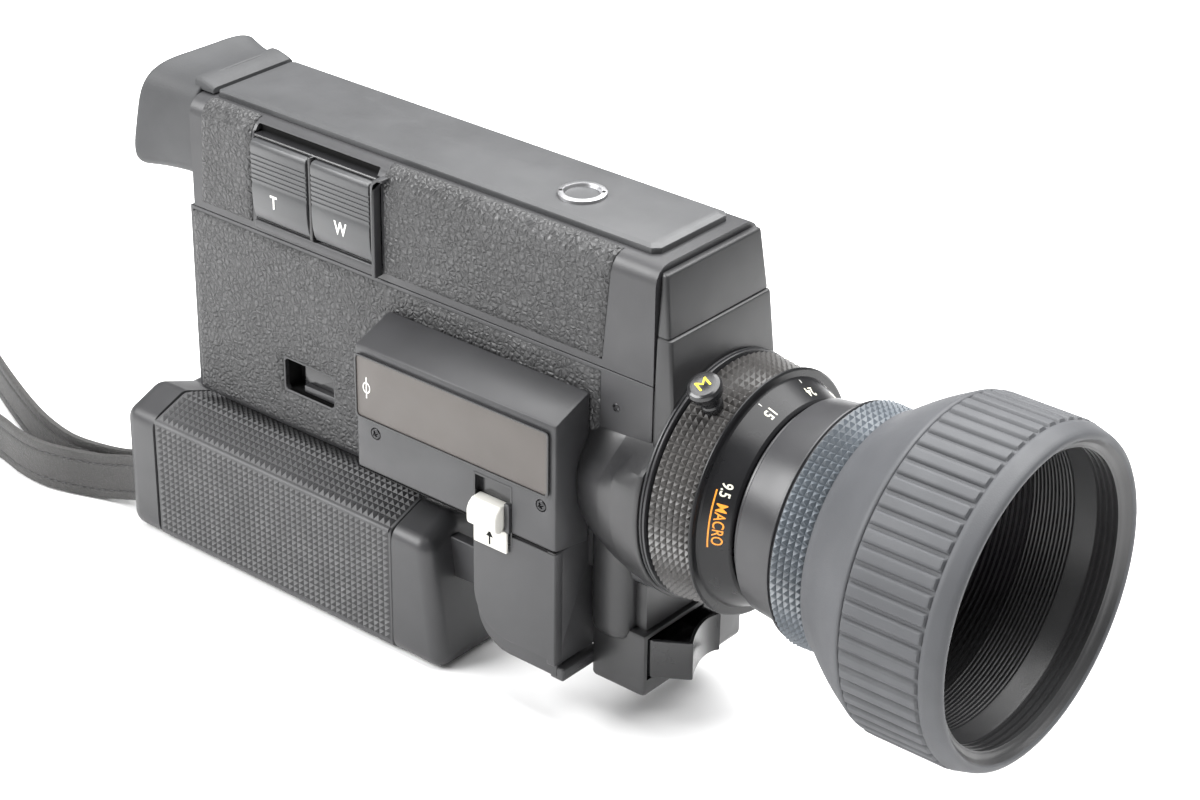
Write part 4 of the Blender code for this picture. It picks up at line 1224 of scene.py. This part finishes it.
def hood():
    """The rubber hood: a soft cone, a belt of raised bars, a smooth lip, and ridges inside its mouth."""
    outer, belt = hood_outer(), hood_belt()
    lip = [
        (93.8, 42.6), (94.2, 42.75), (95.2, 42.5), (97.4, 41.9), (98.4, 41.4), (98.9, 40.8), (99.0, 40.2),
        (98.9, 39.8), (98.5, 39.5),
    ]
    mouth_edge = [(97.6, 38.7), (96.9, 38.2), (96.8, 37.6), (96.5, 37.4)]
    profile = outer + belt + lip + mouth_edge + hood_inner()
    steps = HOOD_BARS * STEPS_PER_BAR
    first_belt, last_belt = len(outer), len(outer) + len(belt)
    rows = []
    for index, (x, radius) in enumerate(profile):
        row = []
        for j in range(steps):
            lift = 0.0
            if first_belt <= index < last_belt:
                phase = abs((j % STEPS_PER_BAR) / STEPS_PER_BAR - 0.5) * 2
                across = 1 - smoothstep(0.60, 0.80, phase)
                end = smoothstep(0.0, 0.6, min(x - BELT_LOW, BELT_HIGH - x))
                lift = 0.80 * across * end
            row.append(on_lens(x, radius + lift, TURN * (j + 0.5) / steps))
        rows.append(row)
    points, faces = strip(rows, True)
    # The mouth's faces take the darker copy of the rubber: painted shade inside the hood.
    mouth = [face for face in range(len(faces)) if face // steps >= last_belt + len(lip) - 1]
    make("hood_finished", points, faces, "hood", "focus_ring", "rubber_hood", 50, ("hood_inside", mouth))


def trigger():
    """A hollow paddle: its near side slants out to a corner, and its front sweeps back in a hollow curve."""
    sweep = [
        (8.9, -12.3), (7.5, -10.0), (6.3, -7.6), (5.3, -5.0), (4.7, -2.6), (4.5, -0.4), (4.8, 1.6),
        (5.5, 3.1),
    ]
    front = [(point.x, point.y) for point in smooth_route(sweep, 5)]
    near, far, back = -18.2, 3.1, -3.6
    line = [(back, near), (-1.0, near), (0.2, -18.1), (1.0, -17.7), (8.3, -12.9), (8.7, -12.6)]
    line += front + [(4.9, far), (back, far)]
    levels = (
        (17.2, 0.4), (17.3, 0.15), (17.6, 0.0), (27.8, 0.0),
        (28.1, 0.12), (28.2, 0.35), (28.2, 0.95), (28.1, 1.1),
        (24.6, 1.15),
    )
    rows = []
    for z, inset in levels:
        row = []
        for x, y in line:
            row.append(at(x - inset * smoothstep(-3.0, 0.0, x), min(max(y, near + inset), far - inset), z))
        rows.append(row)
    make("trigger_finished", *capped(rows), "gloss", "trigger", "trigger", 40)


# ---------------------------------------------------------------- grip

GRIP_Y, GRIP_FAR_Y, GRIP_FLOOR, GRIP_CREASE = -33.9, 9.0, 0.6, 37.8
GRIP_RIDGE_Y, GRIP_TOP = -21.6, 42.5
SLEEVE_BACK, SLEEVE_FRONT = -164.4, -74.7


def grip_section(inset):
    """The CAD's section with finer corners: it starts under the near edge and goes up and over."""
    near, far, low = GRIP_Y + inset, GRIP_FAR_Y - inset, GRIP_FLOOR + inset
    crease = GRIP_CREASE - 0.7 * inset
    shelf = GRIP_CREASE - inset
    points = arc((near + 2.4, low + 2.4), 2.4, 270, 180, 6)
    points += [(near, crease - 0.5), (near + 0.12, crease), (near + 0.5, crease + 0.35)]
    for y, drop in ((-1.2, 0.5), (0.0, 0.22), (1.2, 0.5)):
        points.append((GRIP_RIDGE_Y + y, GRIP_TOP - inset - drop))
    points += [(2 * GRIP_RIDGE_Y - GRIP_Y, shelf)]
    points += arc((far - 3, shelf - 3), 3, 80, 0, 6) + arc((far - 4, low + 4), 4, 0, -90, 8)
    return points


def along_line(line, distance):
    """The point this far along an open line in the y and z plane, with the way out of the grip."""
    for a, b in zip(line, line[1:]):
        a, b = Vector(a), Vector(b)
        length = (b - a).length
        if distance <= length or (a, b) == (Vector(line[-2]), Vector(line[-1])):
            way = (b - a).normalized()
            return a + way * distance, Vector((-way.y, way.x))
        distance -= length
    return Vector(line[-1]), Vector((0, 1))


def line_length(line):
    return sum((Vector(b) - Vector(a)).length for a, b in zip(line, line[1:]))


def sleeve():
    """The rubber sleeve: rows of small pyramids, a thin smooth line along the crease, plain ends."""
    rows = [[at(SLEEVE_BACK, y, z) for y, z in grip_section(2.0)]]
    for x, inset in (
        (SLEEVE_BACK, 0.7), (SLEEVE_BACK + 0.2, 0.5), (SLEEVE_FRONT - 0.2, 0.5),
        (SLEEVE_FRONT, 0.7), (SLEEVE_FRONT, 2.0),
    ):
        rows.append([at(x, y, z) for y, z in grip_section(inset)])
    make("sleeve_finished", *strip(rows, True), "grip", "grip", "grip_sleeve", 30)

    columns, pitch = 44, 1.82
    x_low, x_high = SLEEVE_BACK + 0.9, SLEEVE_FRONT - 0.9
    full = grip_section(0.5)
    crease = (GRIP_Y + 0.5, GRIP_CREASE - 0.35)
    crease_at = full.index(min(full, key=lambda p: abs(p[1] - crease[1]) + abs(p[0] - crease[0])))
    lower_line, upper_line = full[6:crease_at + 1], full[crease_at:]
    lower_length, upper_length = line_length(lower_line), line_length(upper_line)
    zones = (
        (lower_line, 0.3, lower_length - 0.7, round((lower_length - 1.0) / pitch)),
        (upper_line, 0.9, 3.5, 1),
        (upper_line, 3.6, upper_length - 1.0, round((upper_length - 4.6) / pitch)),
    )
    for index, (line, low, high, count) in enumerate(zones, 1):

        def spot(i, j, lift, line=line, low=low, high=high, count=count):
            point, out = along_line(line, low + (high - low) * j / count)
            place_yz = point + out * (lift + 0.02)
            return at(x_low + (x_high - x_low) * i / columns, place_yz.x, place_yz.y)

        points, faces = studs(columns, count, 0.78, spot, 0.12, False)
        make(f"sleeve_studs_{index}", points, faces, "grip", "grip", None, 20)
    section = [(0.30, -1.0), (0.02, -0.75), (0.02, -0.2), (0.35, 0.14), (0.95, 0.30), (1.3, 0.1)]
    rail = []
    for x in (SLEEVE_BACK + 0.4, SLEEVE_FRONT - 0.4):
        rail.append([at(x, GRIP_Y + y, GRIP_CREASE + z) for y, z in section])
    make("sleeve_rail", *capped(rail), "grip", "grip", None, 30)


def cap_section(inset):
    """The grip's section with wide roundings, for the plain caps at both ends."""
    near, far, low = GRIP_Y + 0.1, GRIP_FAR_Y - 0.1, GRIP_FLOOR + 0.05
    shelf = GRIP_CREASE - 0.1
    corners = [
        (near, low), (near, GRIP_CREASE - 0.2),
        (GRIP_RIDGE_Y, GRIP_TOP - 0.1), (2 * GRIP_RIDGE_Y - GRIP_Y, shelf),
        (far, shelf), (far, low),
    ]
    return filleted(inward(corners, inset), max(5.0 - inset, 0.6), 7)


def cap_rows(start, end, radius, side, slope=0.0):
    """An end block's rings, from the sleeve to its rounded end. side is 1 towards the lens and -1 away."""
    rows = [[at(start, y, z) for y, z in cap_section(0.5)]]
    rows.append([at(start + side * 0.2, y, z) for y, z in cap_section(0.1)])
    for step in range(9):
        turn = math.pi / 2 * step / 8
        row = []
        for y, z in cap_section(radius * (1 - math.cos(turn))):
            face = end + (GRIP_CREASE - z) * slope
            row.append(at(face - side * radius * (1 - math.sin(turn)), y, z))
        rows.append(row)
    return rows


def grip_caps():
    """The plain end blocks, the tongue that the grip folds on, and the slot for the strap's bar."""
    front = cap_rows(SLEEVE_FRONT + 0.3, -61.8, 4.2, 1, 0.13)
    make("front_cap_finished", *capped(front), "body", "grip", "grip_front_cap", 50)
    tongue = [
        (-66.0, 25.0), (-33.0, 27.0), (-26.5, 28.2), (-24.6, 31.0), (-24.6, 34.8), (-26.5, 37.0),
        (-66.0, 37.0),
    ]
    prism("grip_tongue", tongue, -24.6, -21.3, 1, "body", "grip", None, 1.5, 0.3)

    rows = cap_rows(SLEEVE_BACK - 0.3, -177.0, 4.6, -1)
    rear = make("rear_cap_finished", *capped(rows[::-1]), "body", "grip", "grip_rear_cap", 50)
    slot = slab("slot_cutter", (-185.0, -30.0, 4.6), (-168.0, -22.6, 21.6), 0, "dark", "grip", None, 1.2, 0)
    cut_away(rear, slot)
    rear.data.set_sharp_from_angle(angle=math.radians(40))


# ---------------------------------------------------------------- eyecup


EYE_Z = 116.5


def eyecup():
    """The rubber cup: a soft squarish funnel. Its rim reaches further back below and on the right side."""
    steps = 96

    def ring(part, thick):
        points = []
        for step in range(steps):
            across, upward = squared_circle(TURN * (step + 0.5) / steps, 0.5)
            half = 17.6 + 1.4 * part - thick - 0.45 * math.sin(math.pi * part)
            middle = 119.7 + (0.8 * across - 0.6 + 1.2 * max(across, 0) * max(upward, 0)) * part
            tall = 15.2 + 1.4 * part**2 - thick - 0.25 * math.sin(math.pi * part)
            reach = 18.4 - 3.6 * upward - 3.5 * across
            points.append(at(-158.4 - reach * part, half * across, middle + tall * upward))
        return points

    rows = [ring(0.0, 0.9), ring(0.0, 0.35), ring(0.02, 0.0)]
    rows += [ring(0.02 + 0.95 * k / 16, 0.0) for k in range(1, 17)]
    rows += [ring(0.995, 0.12), ring(1.01, 0.5), ring(1.015, 1.0), ring(1.0, 1.5)]
    for k in range(1, 13):
        part = 1.0 - 0.82 * k / 12
        rows.append(ring(part, 1.6 + 1.4 * (1 - part)))
    for x in (-161.4, -158.5):
        rows.append([at(x, y, z) for y, z in circle((0.0, EYE_Z), 10.4, steps, TURN * 0.5 / steps)])
    make("eyecup_finished", *strip(rows, True), "cup", "camera_body", "eyecup", 60)


def eyecup_lip():
    """The low wedge where the cup laps over the top plate's end."""
    foot = 131.75
    lip = [
        (-160.6, foot), (-160.6, 134.7), (-159.0, 134.75), (-157.0, 134.3), (-154.6, 133.6), (-153.9, 133.2),
        (-153.7, foot),
    ]
    edge = ((14.6, 0.9), (14.4, 0.4), (13.9, 0.1), (13.0, 0.0))
    rows = []
    for y, inset in [(-y, inset) for y, inset in edge] + list(reversed(edge)):
        rows.append([at(x, y, max(z - inset, foot)) for x, z in lip])
    make("eyecup_lip", *capped(rows), "cup", sharp=40)


def eyepiece_glass():
    """The eyepiece's domed glass."""
    profile = ((-160.4, 0.02), (-160.3, 3.0), (-159.9, 5.5), (-159.4, 7.1), (-158.1, 7.1), (-158.0, 0.02))
    rows = []
    for x, radius in profile:
        rows.append([at(x, y, z) for y, z in circle((0.0, EYE_Z), radius, 64)])
    make("eyepiece_glass_finished", *capped(rows), "glass", "camera_body", "eyepiece_glass", 40)


def carried_over():
    """The CAD solids that stay as they are get their materials."""
    looks = {
        "steel": "grip_pin door_pin mechanism_plate film_gate motor zoom_motor strap_bar door_latch",
        "chrome": "tripod_bush",
        "brass": "drive_spindle motor_pinion zoom_pinion",
        "cartridge": "film_cartridge",
        "dark": "shutter_disc",
        "glass": "prism_block",
        "window": "door_window",
        "body": "grip_shell",
        "cell": "battery_1 battery_2 battery_3 battery_4",
    }
    for look, nodes in looks.items():
        for node in nodes.split():
            mesh = frame["nodes"][node].data
            mesh.materials.clear()
            mesh.materials.append(LOOKS[look])


zoom_ring()
macro_knob()
barrels()
lens_glass("front_glass", 46.2, 22.6, 3.0)
lens_glass("rear_glass", 4.2, 12.6, 1.2)
hood()
trigger()
sleeve()
grip_caps()
eyecup()
eyecup_lip()
eyepiece_glass()
carried_over()
